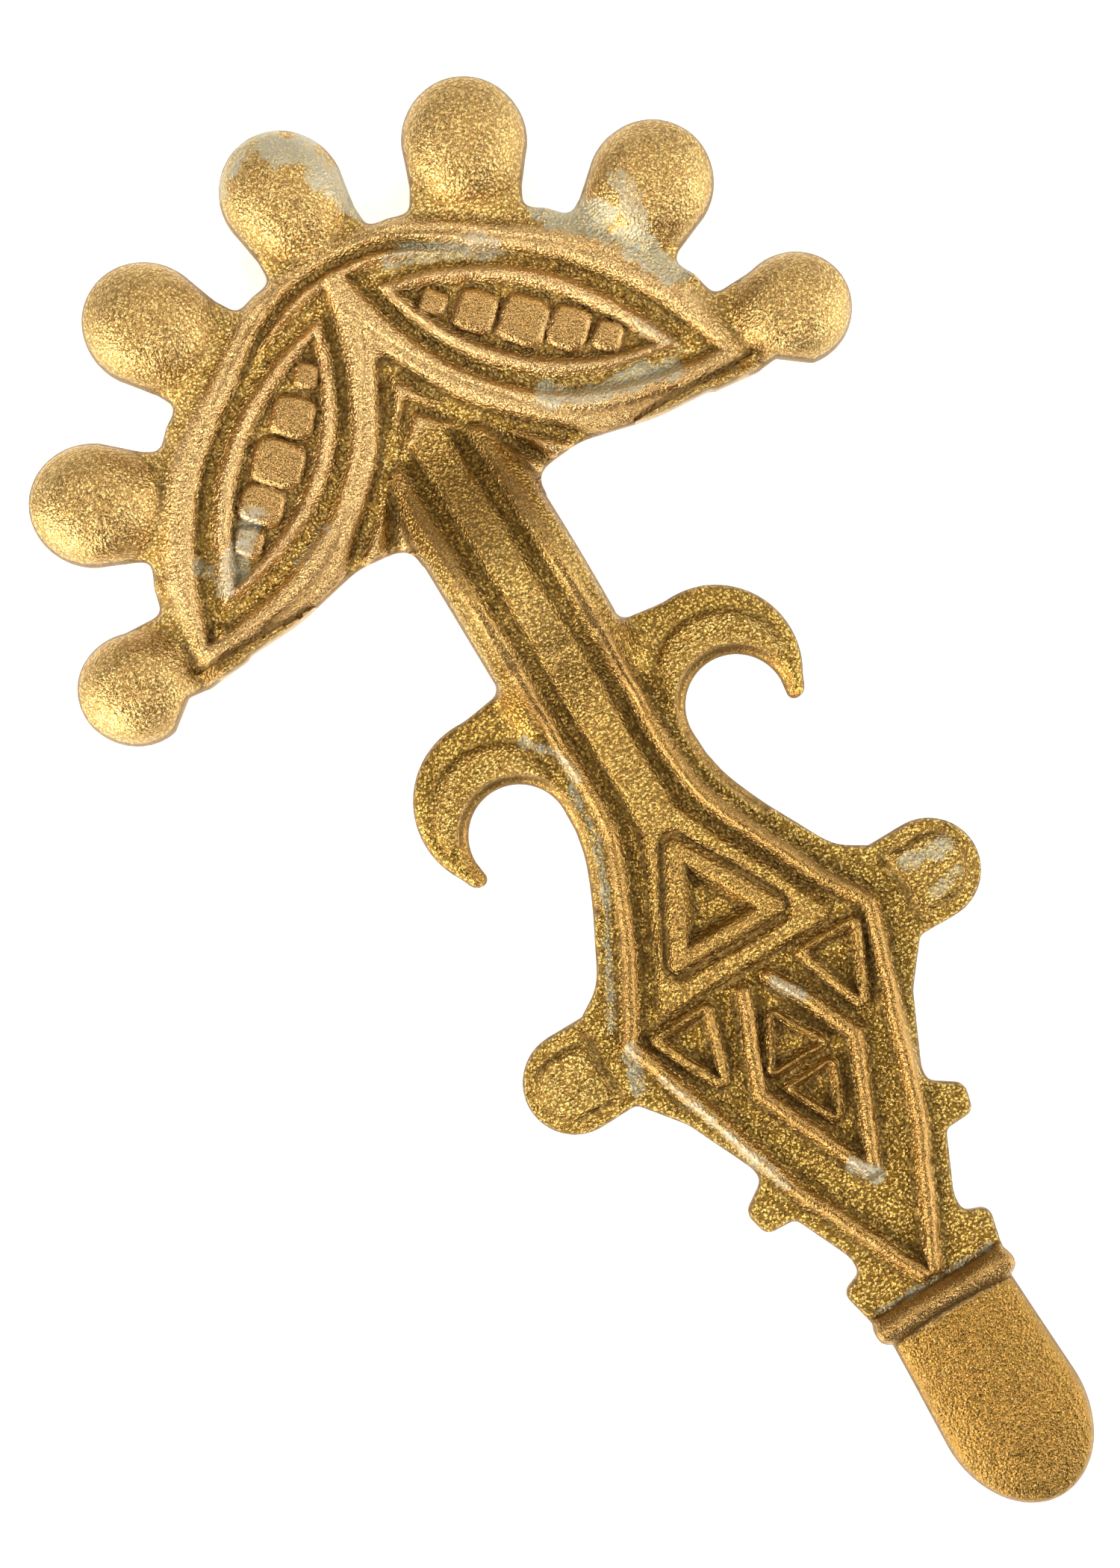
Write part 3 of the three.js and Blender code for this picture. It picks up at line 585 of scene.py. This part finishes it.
def drawn_to_steps(places):
    """Moves places that lie near the foot or the head of a step onto it, so that its lines stay clean."""
    nudge = 1e-3
    kept = []
    for dx, dy in ((0, 0), (nudge, 0), (0, nudge)):
        Front.steps = []
        x, y = places[:, 0] + dx, places[:, 1] + dy
        relief(x, y, plan_at(x, y))
        kept.append(Front.steps)
        Front.steps = None
    best = np.full(len(places), FINE * 0.55)
    move = np.zeros_like(places)
    for (here, soft), (right, _), (up, _) in zip(*kept):
        slope = np.column_stack((right - here, up - here)) / nudge
        steep = np.maximum(np.sum(slope ** 2, axis=1), 0.25)
        for edge in (-soft / 2, soft / 2):
            off = here - edge
            closer = np.abs(off) < np.abs(best)
            best = np.where(closer, np.abs(off), best)
            move[closer] = (-off / steep)[closer, None] * slope[closer]
    far = np.linalg.norm(move, axis=1, keepdims=True)
    return places + move * np.minimum(1, FINE * 0.6 / np.maximum(far, 1e-9))


def lean(x, y):
    return y - LEAN * x * smooth((y - LEAN_START) / (LEAN_FULL - LEAN_START))


def underside(x, y):
    """Height of the hollow under the bow above the flat back."""
    along = np.clip(np.abs(y - SPAN["y"]) / SPAN["half"], 0, 1)
    return SPAN["rise"] * np.sqrt(1 - along ** 2) * smooth((5.3 - np.abs(x)) / 1.1)


def casting_mesh():
    """The casting's skin: its carved front, its plain back with the hollow under the bow, and its side."""
    x, y = lattice(FINE)
    keep = plan_at(x, y) > 0.06
    top_inner = drawn_to_steps(np.column_stack((x[keep], y[keep])))
    top_inner = top_inner[plan_at(*top_inner.T) > 0.05]
    top_faces = triangulate(top_inner)
    top = np.vstack((outline, top_inner))
    depth = np.concatenate((np.zeros(len(outline)), plan_at(*top_inner.T)))
    front = relief(*top.T, depth)
    ax, y = np.abs(top[:, 0]), top[:, 1]
    hooked = smooth((ax - 4.2) / 1.5) * smooth((y - 1.0) / 2.0) * smooth((12.5 - y) / 1.0) * smooth((np.hypot(
        ax - HOOK["inner_x"], y - HOOK["inner_y"]) - HOOK["inner_r"]) / 1.0)
    edge = EDGE + 0.05 * hooked + 0.15 * smooth((ax - 9.0) / 1.5) * smooth((-6.0 - y) / 1.0)
    round_in = np.clip(edge - depth, 0, edge)
    height = front.height - np.minimum(1, 0.55 / edge) * (edge - np.sqrt(edge ** 2 - round_in ** 2))
    x, y = lattice(COARSE)
    far = plan_at(x, y)
    keep = far > UNDER_EDGE + 0.35
    x, y = x[keep], y[keep]
    sx, sy = lattice(SPAN_STEP)
    in_span = (np.abs(sy - SPAN["y"]) < SPAN["half"] + 0.3) & (np.abs(sx) < 5.8) & (plan_at(sx, sy) > 0.3)
    outside = (np.abs(y - SPAN["y"]) > SPAN["half"] + 0.6) | (np.abs(x) > 6.2)
    back_inner = np.column_stack((np.concatenate((x[outside], sx[in_span])),
                                  np.concatenate((y[outside], sy[in_span]))))
    back_faces = triangulate(back_inner)
    back = np.vstack((outline, back_inner))
    rim_size = len(outline)
    low = underside(*back.T)
    low[:rim_size] += UNDER_EDGE
    vertices = np.vstack((np.column_stack((top, height)), np.column_stack((back, low))))
    start = len(top)
    ring = np.arange(rim_size)
    following = np.roll(ring, -1)
    walls = np.vstack((np.column_stack((ring, start + ring, start + following)),
                       np.column_stack((ring, start + following, following))))
    faces = np.vstack((top_faces, back_faces[:, ::-1] + start, walls))
    vertices[:, 1] = lean(vertices[:, 0], vertices[:, 1])
    vertices[:, 2] += BACK
    marks = (("grain", front.grain, 0.5), ("worn", front.worn, 0.2), ("dark_reflection", front.dark_reflection, 0.5),
             ("crust", patina(*top.T), 0.0), ("hollow", hollows(height, top_faces), 0.0))
    return vertices, faces, [(key, np.concatenate((values, np.full(len(back), behind))))
                             for key, values, behind in marks]


def new_mesh(name, vertices, faces, attributes=()):
    mesh = bpy.data.meshes.new(name)
    mesh.from_pydata((np.asarray(vertices) * MM).tolist(), [], [list(map(int, f)) for f in faces])
    mesh.validate()
    for key, values in attributes:
        mesh.attributes.new(key, "FLOAT", "POINT").data.foreach_set("value", np.asarray(values, np.float32))
    mesh.polygons.foreach_set("use_smooth", [True] * len(mesh.polygons))
    return placed(name, mesh)


def face_outwards(piece):
    shell = bmesh.new()
    shell.from_mesh(piece.data)
    bmesh.ops.recalc_face_normals(shell, faces=shell.faces)
    shell.to_mesh(piece.data)
    shell.free()


def hollows(height, faces, rounds=5):
    """How much deeper each place lies than its surroundings."""
    one, other = faces[:, (0, 1, 2)].ravel(), faces[:, (1, 2, 0)].ravel()
    one, other = np.concatenate((one, other)), np.concatenate((other, one))
    count = np.maximum(np.bincount(one, minlength=len(height)), 1)
    spread = height
    for _ in range(rounds):
        spread = np.bincount(one, spread[other], len(height)) / count
    return spread - height


def loft(rings, capped=True):
    """Joins rings of equally many places; the ends are closed with one face each."""
    size = len(rings[0])
    faces = []
    for k in range(len(rings) - 1):
        for i in range(size):
            j = (i + 1) % size
            faces.append((k * size + i, k * size + j, (k + 1) * size + j, (k + 1) * size + i))
    if capped:
        last = (len(rings) - 1) * size
        faces += [tuple(reversed(range(size))), tuple(range(last, last + size))]
    return [tuple(p) for ring in rings for p in ring], faces


def lug_rings(side):
    """A lug's level cuts from its foot in the plate down to its round end; it swells where it was cast on."""
    rings = []
    end_cuts = 1.0 - np.sin(np.radians(np.linspace(8, 84, 12)))
    for z in [BACK + 0.45, BACK + 0.05, *np.linspace(BACK - 0.15, 1.0, 24), *end_cuts]:
        swell = 0.55 * max(0.0, 1 - max(0.0, BACK - z) / 0.9) ** 2
        round_end = 1 - math.sqrt(max(0.0, 1 - max(0.0, 1.0 - z) ** 2))
        half_y = LUG["half"] + swell - 0.95 * round_end
        half_x = LUG["thick"] / 2 + swell - 0.42 * round_end - 0.03 * (BACK - z) / BACK
        ring = rounded([(i * half_x, j * half_y, 0.3) for i, j in ((-1, -1), (1, -1), (1, 1), (-1, 1))])
        wobble = 0.02 * math.sin(z * 2.3 + side)
        rings.append([(side * LUG["x"] + px + wobble, LUG["y"] + py, max(z, 0.0)) for px, py in ring])
    return rings


def catch_rings():
    """The catch-plate: a cast leaf that is bent round into a hook for the pin."""
    wall, gap, floor_z, lip = (CATCH[key] for key in ("wall", "gap", "floor", "lip"))
    top = BACK + 0.45
    rings = []
    ends = [(0.0, 0.22), (0.05, 0.12), (0.14, 0.04), (0.25, 0.0)]
    far_ends = [(6.15, 0.0), (6.26, 0.04), (6.35, 0.12), (6.4, 0.22)]
    stations = [*ends, *[(t, 0.0) for t in np.linspace(0.5, 5.9, 14)], *far_ends]
    for along, ease in stations:
        root = 0.5
        outer, inner = -gap - wall + ease, -gap - ease
        right = gap + wall * 0.9 - ease
        ring = rounded([(outer - root, top), (outer, top - 1.4, 1.2), (outer, ease, 0.45),
                        (right, ease, 0.85), (right, lip - ease, 0.42), (gap + ease, lip - ease, 0.36),
                        (gap + ease, floor_z - ease, 0.55), (inner, floor_z - ease, 0.55),
                        (inner, top - 1.4, 1.2), (inner + root, top)])
        rings.append([(px, CATCH["back"] + along, pz) for px, pz in ring])
    return rings


def bored(vertices, faces, centre, radius, length):
    """Cuts a round hole along X through a form."""
    form = new_mesh("lugs_uncut", vertices, faces)
    angles = np.radians(np.arange(0, 360, 7.5))
    rings = [[(x, centre[0] + radius * math.cos(a), centre[1] + radius * math.sin(a)) for a in angles]
             for x in (-length, length)]
    drill = new_mesh("drill", *loft(rings))
    face_outwards(form)
    face_outwards(drill)
    cut = form.modifiers.new("bore", "BOOLEAN")
    cut.operation, cut.solver, cut.object = "DIFFERENCE", "EXACT", drill
    result = bpy.data.meshes.new_from_object(form.evaluated_get(bpy.context.evaluated_depsgraph_get()))
    places = [tuple(c / MM for c in v.co) for v in result.vertices]
    found = [tuple(p.vertices) for p in result.polygons]
    for piece in (form, drill):
        bpy.data.objects.remove(piece)
    return places, found


vertices, faces, marks = casting_mesh()
cast_parts = [(vertices, [tuple(f) for f in faces.tolist()])]
lug_places, lug_faces = [], []
for side in (-1, 1):
    ring_places, ring_faces = loft(lug_rings(side))
    lug_faces += [tuple(i + len(lug_places) for i in f) for f in ring_faces]
    lug_places += ring_places
cast_parts.append(bored(lug_places, lug_faces, (LUG["y"], AXLE["z"]), LUG["hole"], 9.0))
cast_parts.append(loft(catch_rings()))
all_places, all_faces = [], []
for part_places, part_faces in cast_parts:
    all_faces += [tuple(i + len(all_places) for i in f) for f in part_faces]
    all_places += [tuple(p) for p in part_places]
added = len(all_places) - len(vertices)
marks = [(key, np.concatenate((values, np.full(added, {"grain": 0.7, "dark_reflection": 0.6}.get(key, 0.0)))))
         for key, values in marks]
casting = new_mesh("cast_brooch", all_places, all_faces, marks)
face_outwards(casting)


# ---------- the spring, the pin and their axle ----------
def wire_mesh(path, radii, sides=18):
    """A round wire along a smooth path, each ring turned as little as possible from the one before."""
    path = [Vector(p) for p in path]
    rings = []
    across = None
    for i, here in enumerate(path):
        ahead = (path[min(i + 1, len(path) - 1)] - path[max(i - 1, 0)]).normalized()
        across = ahead.orthogonal() if across is None else across - ahead * across.dot(ahead)
        across.normalize()
        side = ahead.cross(across)
        rings.append([tuple(here + across * radii[i] * math.cos(a) + side * radii[i] * math.sin(a))
                      for a in np.radians(np.arange(sides) * 360 / sides)])
    return loft(rings)


def pin_path():
    """One wire: it winds outwards, crosses over, winds inwards again and runs out as the pin."""
    per_turn = 12
    far_x = WIRE["first"] + WIRE["turns"] * WIRE["pitch"]

    def at(x, degrees, r=WIRE["coil_r"]):
        a = math.radians(degrees)
        return (x, LUG["y"] + r * math.cos(a), AXLE["z"] + r * math.sin(a))

    left = [at(-WIRE["first"] - i / per_turn * WIRE["pitch"], -i / per_turn * 360)
            for i in range(WIRE["turns"] * per_turn + 1)]
    chord = [at(x * far_x, angle, r) for x, angle, r in
             ((-0.98, -20, 1.85), (-0.86, -38, 2.45), (-0.6, -44, 2.68), (0, -45, WIRE["chord"]),
              (0.6, -44, 2.68), (0.86, -38, 2.45), (0.98, -20, 1.85))]
    turns = WIRE["turns"] + 0.25
    right = [at(far_x - t * (far_x - WIRE["first"]), -t * turns * 360)
             for t in np.linspace(0, 1, int(turns * per_turn) + 1)]
    low = AXLE["z"] - WIRE["coil_r"]
    stem = [(WIRE["first"] * 0.97, LUG["y"] - 1.2, low), (WIRE["first"] * 0.8, 22, low + 0.05),
            (0.25, 5, low + 0.2), (0, CATCH["front"], WIRE["catch_z"]),
            (0, WIRE["tip_y"] + 3.5, WIRE["catch_z"])]
    bends = [*left, *chord, *right, *stem]
    path = curve(bends, len(bends) * 4)
    tip = [(0, WIRE["tip_y"] + d, WIRE["catch_z"]) for d in (3.0, 2.2, 1.4, 0.8, 0.4, 0.15, 0.02)]
    r = WIRE["r"] * 0.985
    point = [r * k for k in (0.97, 0.84, 0.66, 0.5, 0.37, 0.24, 0.1)]
    radii = [r * 0.75, r * 0.93] + [r] * (len(path) - 2) + point
    return [*path, *tip], radii


pin = new_mesh("pin_and_spring", *wire_mesh(*pin_path()))


def axle_mesh():
    """A rod with a head peened over at each end; the heads are a little uneven from the hammer."""
    half, r, head, head_r = (AXLE[key] for key in ("half", "r", "head", "head_r"))
    profile = [(0.02, 0.0), (0.45, 0.015), (0.8, 0.07), (1.0, 0.16), (1.16, 0.3), (1.24, 0.46), (1.25, 0.6),
               (1.2, 0.76), (1.08, 0.87), (0.95, head), (r + 0.06, head + 0.01), (r, head + 0.08)]
    profile = [(min(px, head_r), pz) for px, pz in profile]
    middle = [(r + 0.012 * math.sin(k * 1.9), k) for k in np.linspace(head + 0.4, 2 * half - head - 0.4, 28)]
    stations = profile + middle + [(px, 2 * half - pz) for px, pz in reversed(profile)]
    rings = []
    for k, (radius, along) in enumerate(stations):
        at_head = radius > r + 0.1
        ring = []
        for i in range(36):
            a = math.radians(i * 10)
            start = 1 if along < half else 2.6
            reach = radius * (1 - (0.035 * (0.5 + 0.5 * math.sin(3 * a + start)) if at_head else 0))
            ring.append((along - half, LUG["y"] + reach * math.cos(a), AXLE["z"] + reach * math.sin(a)))
        rings.append(ring)
    return loft(rings)


axle = new_mesh("spring_rod", *axle_mesh())
for piece in (casting, pin, axle):
    piece.data.set_sharp_from_angle(angle=SHARP)


# ---------- finishes ----------
def node_group(name, inputs, outputs):
    group = bpy.data.node_groups.new(name, "ShaderNodeTree")
    for label, value in inputs.items():
        socket = group.interface.new_socket(label, in_out="INPUT", socket_type="NodeSocketFloat")
        socket.default_value = value
    for label in outputs:
        group.interface.new_socket(label, in_out="OUTPUT", socket_type="NodeSocketFloat")
    return group, group.nodes.new("NodeGroupInput"), group.nodes.new("NodeGroupOutput")


def feed(tree, value, socket):
    """Gives a socket either a plain value or another node's output."""
    if isinstance(value, (int, float, tuple)):
        socket.default_value = value
    else:
        tree.links.new(value, socket)


def set_values(node, values):
    for key, value in values.items():
        node.inputs[key].default_value = value


def math_node(tree, operation, *values):
    node = tree.nodes.new("ShaderNodeMath")
    node.operation = operation
    for value, socket in zip(values, node.inputs):
        feed(tree, value, socket)
    return node.outputs[0]


def ranged(tree, value, low, high):
    node = tree.nodes.new("ShaderNodeMapRange")
    node.interpolation_type = "SMOOTHSTEP"
    set_values(node, {"From Min": low, "From Max": high})
    feed(tree, value, node.inputs["Value"])
    return node.outputs[0]


def scaled_place(tree, per_metre):
    place = tree.nodes.new("ShaderNodeTexCoord")
    grown = tree.nodes.new("ShaderNodeVectorMath")
    grown.operation = "SCALE"
    feed(tree, place.outputs["Object"], grown.inputs[0])
    feed(tree, per_metre, grown.inputs["Scale"])
    return grown.outputs[0]


def noise(tree, place, scale, detail=3.0, rough=0.6):
    node = tree.nodes.new("ShaderNodeTexNoise")
    set_values(node, {"Scale": scale, "Detail": detail, "Roughness": rough})
    feed(tree, place, node.inputs["Vector"])
    return node.outputs["Fac"]


def sugar_grain():
    """The sugary skin that a plaster mould leaves: round grains of mixed size, with finer ones on them."""
    tree, inside, out = node_group("sugar_grain", {"Size": 0.28, "Amount": 1.0}, ["Height", "Speck"])
    place = scaled_place(tree, math_node(tree, "DIVIDE", 1 / MM, inside.outputs["Size"]))
    cells = tree.nodes.new("ShaderNodeTexVoronoi")
    cells.feature = "SMOOTH_F1"
    set_values(cells, {"Scale": 1.15, "Smoothness": 0.25, "Randomness": 1.0})
    feed(tree, place, cells.inputs["Vector"])
    fine = noise(tree, place, 2.1, 2.0, 0.7)
    broad = noise(tree, place, 0.33, 2.0, 0.5)
    drops = math_node(tree, "MULTIPLY", cells.outputs["Distance"], -0.75)
    grains = math_node(tree, "MULTIPLY_ADD", fine, 0.6, drops)
    patches = math_node(tree, "MULTIPLY_ADD", broad, 1.6, 0.2)
    patchy = math_node(tree, "MULTIPLY", inside.outputs["Amount"], patches)
    skin = math_node(tree, "MULTIPLY", noise(tree, place, 1.9, 2.0, 0.6), 0.3)
    feed(tree, math_node(tree, "MULTIPLY_ADD", grains, patchy, skin), out.inputs["Height"])
    # Speck is high on the grain tops and low between them; the gilt finish uses it to paint highlights on the
    # tops and shade between them.
    feed(tree, ranged(tree, grains, -0.16, 0.14), out.inputs["Speck"])
    return tree


def pale_crust():
    """Where the pale crust sits: a thin film, thick where it was left, broken up by fine speckle."""
    tree, inside, out = node_group("pale_crust", {"Cover": 0.0}, ["Mask"])
    place = scaled_place(tree, 1 / MM)
    patches = noise(tree, place, 1.6, 3.0, 0.6)
    speckle = noise(tree, place, 7.5, 3.0, 0.75)
    loose = math_node(tree, "MULTIPLY_ADD", patches, 1.1, -0.75)
    grainy = math_node(tree, "MULTIPLY_ADD", speckle, 1.3, loose)
    total = math_node(tree, "ADD", grainy, inside.outputs["Cover"])
    feed(tree, ranged(tree, total, 0.62, 1.3), out.inputs["Mask"])
    return tree


def grime_and_hollow_shade():
    """Darkening that grows with Hollow and is uneven from place to place: painted shade in the casting's
    hollows, uneven darkening from handling on the wire and axle.
    """
    tree, inside, out = node_group("grime_and_hollow_shade", {"Hollow": 0.0, "Scale": 1.0}, ["Mask"])
    place = scaled_place(tree, math_node(tree, "DIVIDE", 1 / MM, inside.outputs["Scale"]))
    uneven = math_node(tree, "MULTIPLY_ADD", noise(tree, place, 1.0, 3.0, 0.65), 0.9, -0.45)
    total = math_node(tree, "ADD", uneven, inside.outputs["Hollow"])
    feed(tree, ranged(tree, total, 0.05, 0.75), out.inputs["Mask"])
    return tree


def drawn_lines():
    """Fine lines that a drawplate or a file leaves along a wire."""
    tree, inside, out = node_group("drawn_lines", {"Width": 0.1}, ["Height", "Speck"])
    place = scaled_place(tree, math_node(tree, "DIVIDE", 1 / MM, inside.outputs["Width"]))
    flat = tree.nodes.new("ShaderNodeVectorMath")
    flat.operation = "MULTIPLY"
    flat.inputs[1].default_value = (1.0, 0.06, 1.0)
    feed(tree, place, flat.inputs[0])
    lines = noise(tree, flat.outputs[0], 1.0, 3.0, 0.6)
    feed(tree, lines, out.inputs["Height"])
    feed(tree, ranged(tree, noise(tree, place, 0.12, 4.0, 0.65), 0.35, 0.7), out.inputs["Speck"])
    return tree


grain_group = sugar_grain()
crust_group = pale_crust()
grime_and_shade_group = grime_and_hollow_shade()
lines_group = drawn_lines()


def material(name):
    made = bpy.data.materials.new(name)
    made.use_nodes = True
    return made, made.node_tree, made.node_tree.nodes["Principled BSDF"]


def attribute(tree, name):
    node = tree.nodes.new("ShaderNodeAttribute")
    node.attribute_name = name
    return node.outputs["Fac"]


def mixed(tree, mask, first, second):
    mix = tree.nodes.new("ShaderNodeMix")
    mix.data_type = "RGBA"
    for value, key in ((mask, "Factor"), (first, "A"), (second, "B")):
        feed(tree, value, mix.inputs[key])
    return mix.outputs["Result"]


# Lit and shaded copies of gold: painted highlight on the grain tops, painted shade between the grains.
GOLD_GRAIN_SHADE = (0.44, 0.265, 0.05, 1)
GOLD_GRAIN_HIGHLIGHT = (1.0, 0.77, 0.31, 1)
BRONZE = (0.76, 0.50, 0.23, 1)
# Darker copies of the two golds and of the bronze: a painted dark reflection on tops that face the camera.
DARK_REFLECTION_GRAIN_SHADE = (0.25, 0.145, 0.028, 1)
DARK_REFLECTION_GRAIN_HIGHLIGHT = (0.92, 0.65, 0.18, 1)
DARK_REFLECTION_BRONZE = (0.36, 0.21, 0.055, 1)
CRUST_PALE = (0.58, 0.63, 0.53, 1)
# Painted shade for the casting's hollows; on the wire and axle the same colour is uneven darkening from
# handling.
GRIME_AND_SHADE = (0.16, 0.095, 0.03, 1)
WIRE_BRIGHT, WIRE_DARK = (0.86, 0.62, 0.28, 1), (0.55, 0.35, 0.12, 1)
AXLE_BRIGHT, AXLE_DARK = (0.70, 0.50, 0.24, 1), (0.40, 0.26, 0.10, 1)


def grouped(tree, group, **values):
    node = tree.nodes.new("ShaderNodeGroup")
    node.node_tree = group
    set_values(node, values)
    return node


def bumped(tree, height, depth):
    bump = tree.nodes.new("ShaderNodeBump")
    set_values(bump, {"Strength": 1.0, "Distance": depth * MM})
    feed(tree, height, bump.inputs["Height"])
    feed(tree, bump.outputs["Normal"], tree.nodes["Principled BSDF"].inputs["Normal"])


def gilt_brass():
    made, tree, shader = material("gilt_cast_brass")
    grain, worn = attribute(tree, "grain"), attribute(tree, "worn")
    sugar = grouped(tree, grain_group, Size=0.21)
    strong = math_node(tree, "POWER", grain, 1.35)
    feed(tree, math_node(tree, "MULTIPLY_ADD", strong, 0.92, 0.08), sugar.inputs["Amount"])
    crust = grouped(tree, crust_group)
    feed(tree, attribute(tree, "crust"), crust.inputs["Cover"])
    # Painted shade: the colour darkens in the relief's hollows, unevenly from place to place.
    grime_and_shade = grouped(tree, grime_and_shade_group, Scale=0.5)
    feed(tree, math_node(tree, "MULTIPLY", attribute(tree, "hollow"), 6.0), grime_and_shade.inputs["Hollow"])
    # Painted dark reflection: where this mask is high, gold and bronze turn to their darker copies, standing
    # in for the dark overhead mirrored by tops that face the camera.
    dark_reflection = attribute(tree, "dark_reflection")
    # Painted highlight and shade on the grain: bright gold on the grain tops, deep gold between them.
    grain_highlight = sugar.outputs["Speck"]
    gold = mixed(tree, grain_highlight, GOLD_GRAIN_SHADE, GOLD_GRAIN_HIGHLIGHT)
    dark_reflection_gold = mixed(tree, grain_highlight, DARK_REFLECTION_GRAIN_SHADE, DARK_REFLECTION_GRAIN_HIGHLIGHT)
    metal = mixed(tree, worn, mixed(tree, dark_reflection, gold, dark_reflection_gold), mixed(tree, dark_reflection, BRONZE, DARK_REFLECTION_BRONZE))
    painted_hollow_shade = math_node(tree, "MULTIPLY", grime_and_shade.outputs["Mask"], 0.75)
    metal = mixed(tree, painted_hollow_shade, metal, GRIME_AND_SHADE)
    between = math_node(tree, "MULTIPLY_ADD", grain_highlight, -0.45, 0.68)
    filmed = math_node(tree, "MULTIPLY", crust.outputs["Mask"], between)
    feed(tree, mixed(tree, filmed, metal, CRUST_PALE), shader.inputs["Base Color"])
    feed(tree, math_node(tree, "MULTIPLY_ADD", filmed, -0.4, 1.0), shader.inputs["Metallic"])
    dull = math_node(tree, "MAXIMUM", filmed, math_node(tree, "MULTIPLY", painted_hollow_shade, 0.8))
    rubbed = math_node(tree, "MULTIPLY_ADD", worn, 0.03, 0.215)
    feed(tree, math_node(tree, "MULTIPLY_ADD", dull, 0.25, rubbed), shader.inputs["Roughness"])
    bumped(tree, sugar.outputs["Height"], 0.19)
    return made


def drawn_brass(name, bright, dark, line_width, roughness):
    """Bare brass that was drawn or turned, darkened unevenly by handling."""
    made, tree, shader = material(name)
    lines = grouped(tree, lines_group, Width=line_width)
    grime_and_shade = grouped(tree, grime_and_shade_group, Hollow=0.12, Scale=1.4)
    metal = mixed(tree, lines.outputs["Speck"], dark, bright)
    feed(tree, mixed(tree, grime_and_shade.outputs["Mask"], metal, GRIME_AND_SHADE), shader.inputs["Base Color"])
    shader.inputs["Metallic"].default_value = 1.0
    polished = math_node(tree, "MULTIPLY_ADD", lines.outputs["Speck"], -0.12, roughness)
    feed(tree, polished, shader.inputs["Roughness"])
    bumped(tree, lines.outputs["Height"], 0.02)
    return made


cast_finish = gilt_brass()
casting.data.materials.append(cast_finish)
pin.data.materials.append(drawn_brass("drawn_pin_wire", WIRE_BRIGHT, WIRE_DARK, 0.09, 0.36))
axle.data.materials.append(drawn_brass("turned_axle_brass", AXLE_BRIGHT, AXLE_DARK, 0.14, 0.46))
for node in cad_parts.values():
    node.data.materials.clear()
    node.data.materials.append(cast_finish)

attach(casting, "brooch")
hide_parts("brooch_casting")
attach(pin, "pin")
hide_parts("sprung_pin")
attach(axle, "brooch")
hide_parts("spring_axle")

# ---------- table and light ----------
floor_mesh = bpy.data.meshes.new("studio_table")
floor_mesh.from_pydata([(-2, -2, -2e-5), (2, -2, -2e-5), (2, 2, -2e-5), (-2, 2, -2e-5)], [], [(0, 1, 2, 3)])
floor = placed("studio_table", floor_mesh)
paper, _, shader = material("white_paper")
set_values(shader, {"Base Color": (0.93, 0.93, 0.93, 1), "Roughness": 0.9,
                    "Emission Color": (1, 1, 1, 1), "Emission Strength": 0.6})
floor.data.materials.append(paper)


def softbox(name, bearing, distance, height, size, power, colour=(1, 1, 1)):
    """A soft lamp aimed at the brooch; the bearing is in degrees from +X towards +Y."""
    lamp_data = bpy.data.lights.new(name, "AREA")
    lamp_data.shape = "RECTANGLE"
    lamp_data.size, lamp_data.size_y = size
    lamp_data.energy = power
    lamp_data.color = colour
    lamp = placed(name, lamp_data)
    a = math.radians(bearing)
    lamp.location = (distance * math.cos(a), distance * math.sin(a), height)
    lamp.rotation_euler = lamp.location.to_track_quat("Z", "Y").to_euler()


softbox("left_softbox", 190, 0.42, 0.22, (0.3, 0.17), 2.7, (1, 0.92, 0.84))
softbox("right_softbox", -32, 0.42, 0.22, (0.3, 0.2), 1.6, (1, 0.97, 0.95))
softbox("far_softbox", 62, 0.3, 0.55, (0.5, 0.22), 1.6, (1, 0.92, 0.78))

world = bpy.data.worlds.new("studio")
world.use_nodes = True
world.node_tree.nodes["Background"].inputs["Color"].default_value = (0.148, 0.148, 0.148, 1)
bpy.context.scene.world = world
bpy.context.scene.view_settings.view_transform = "Standard"
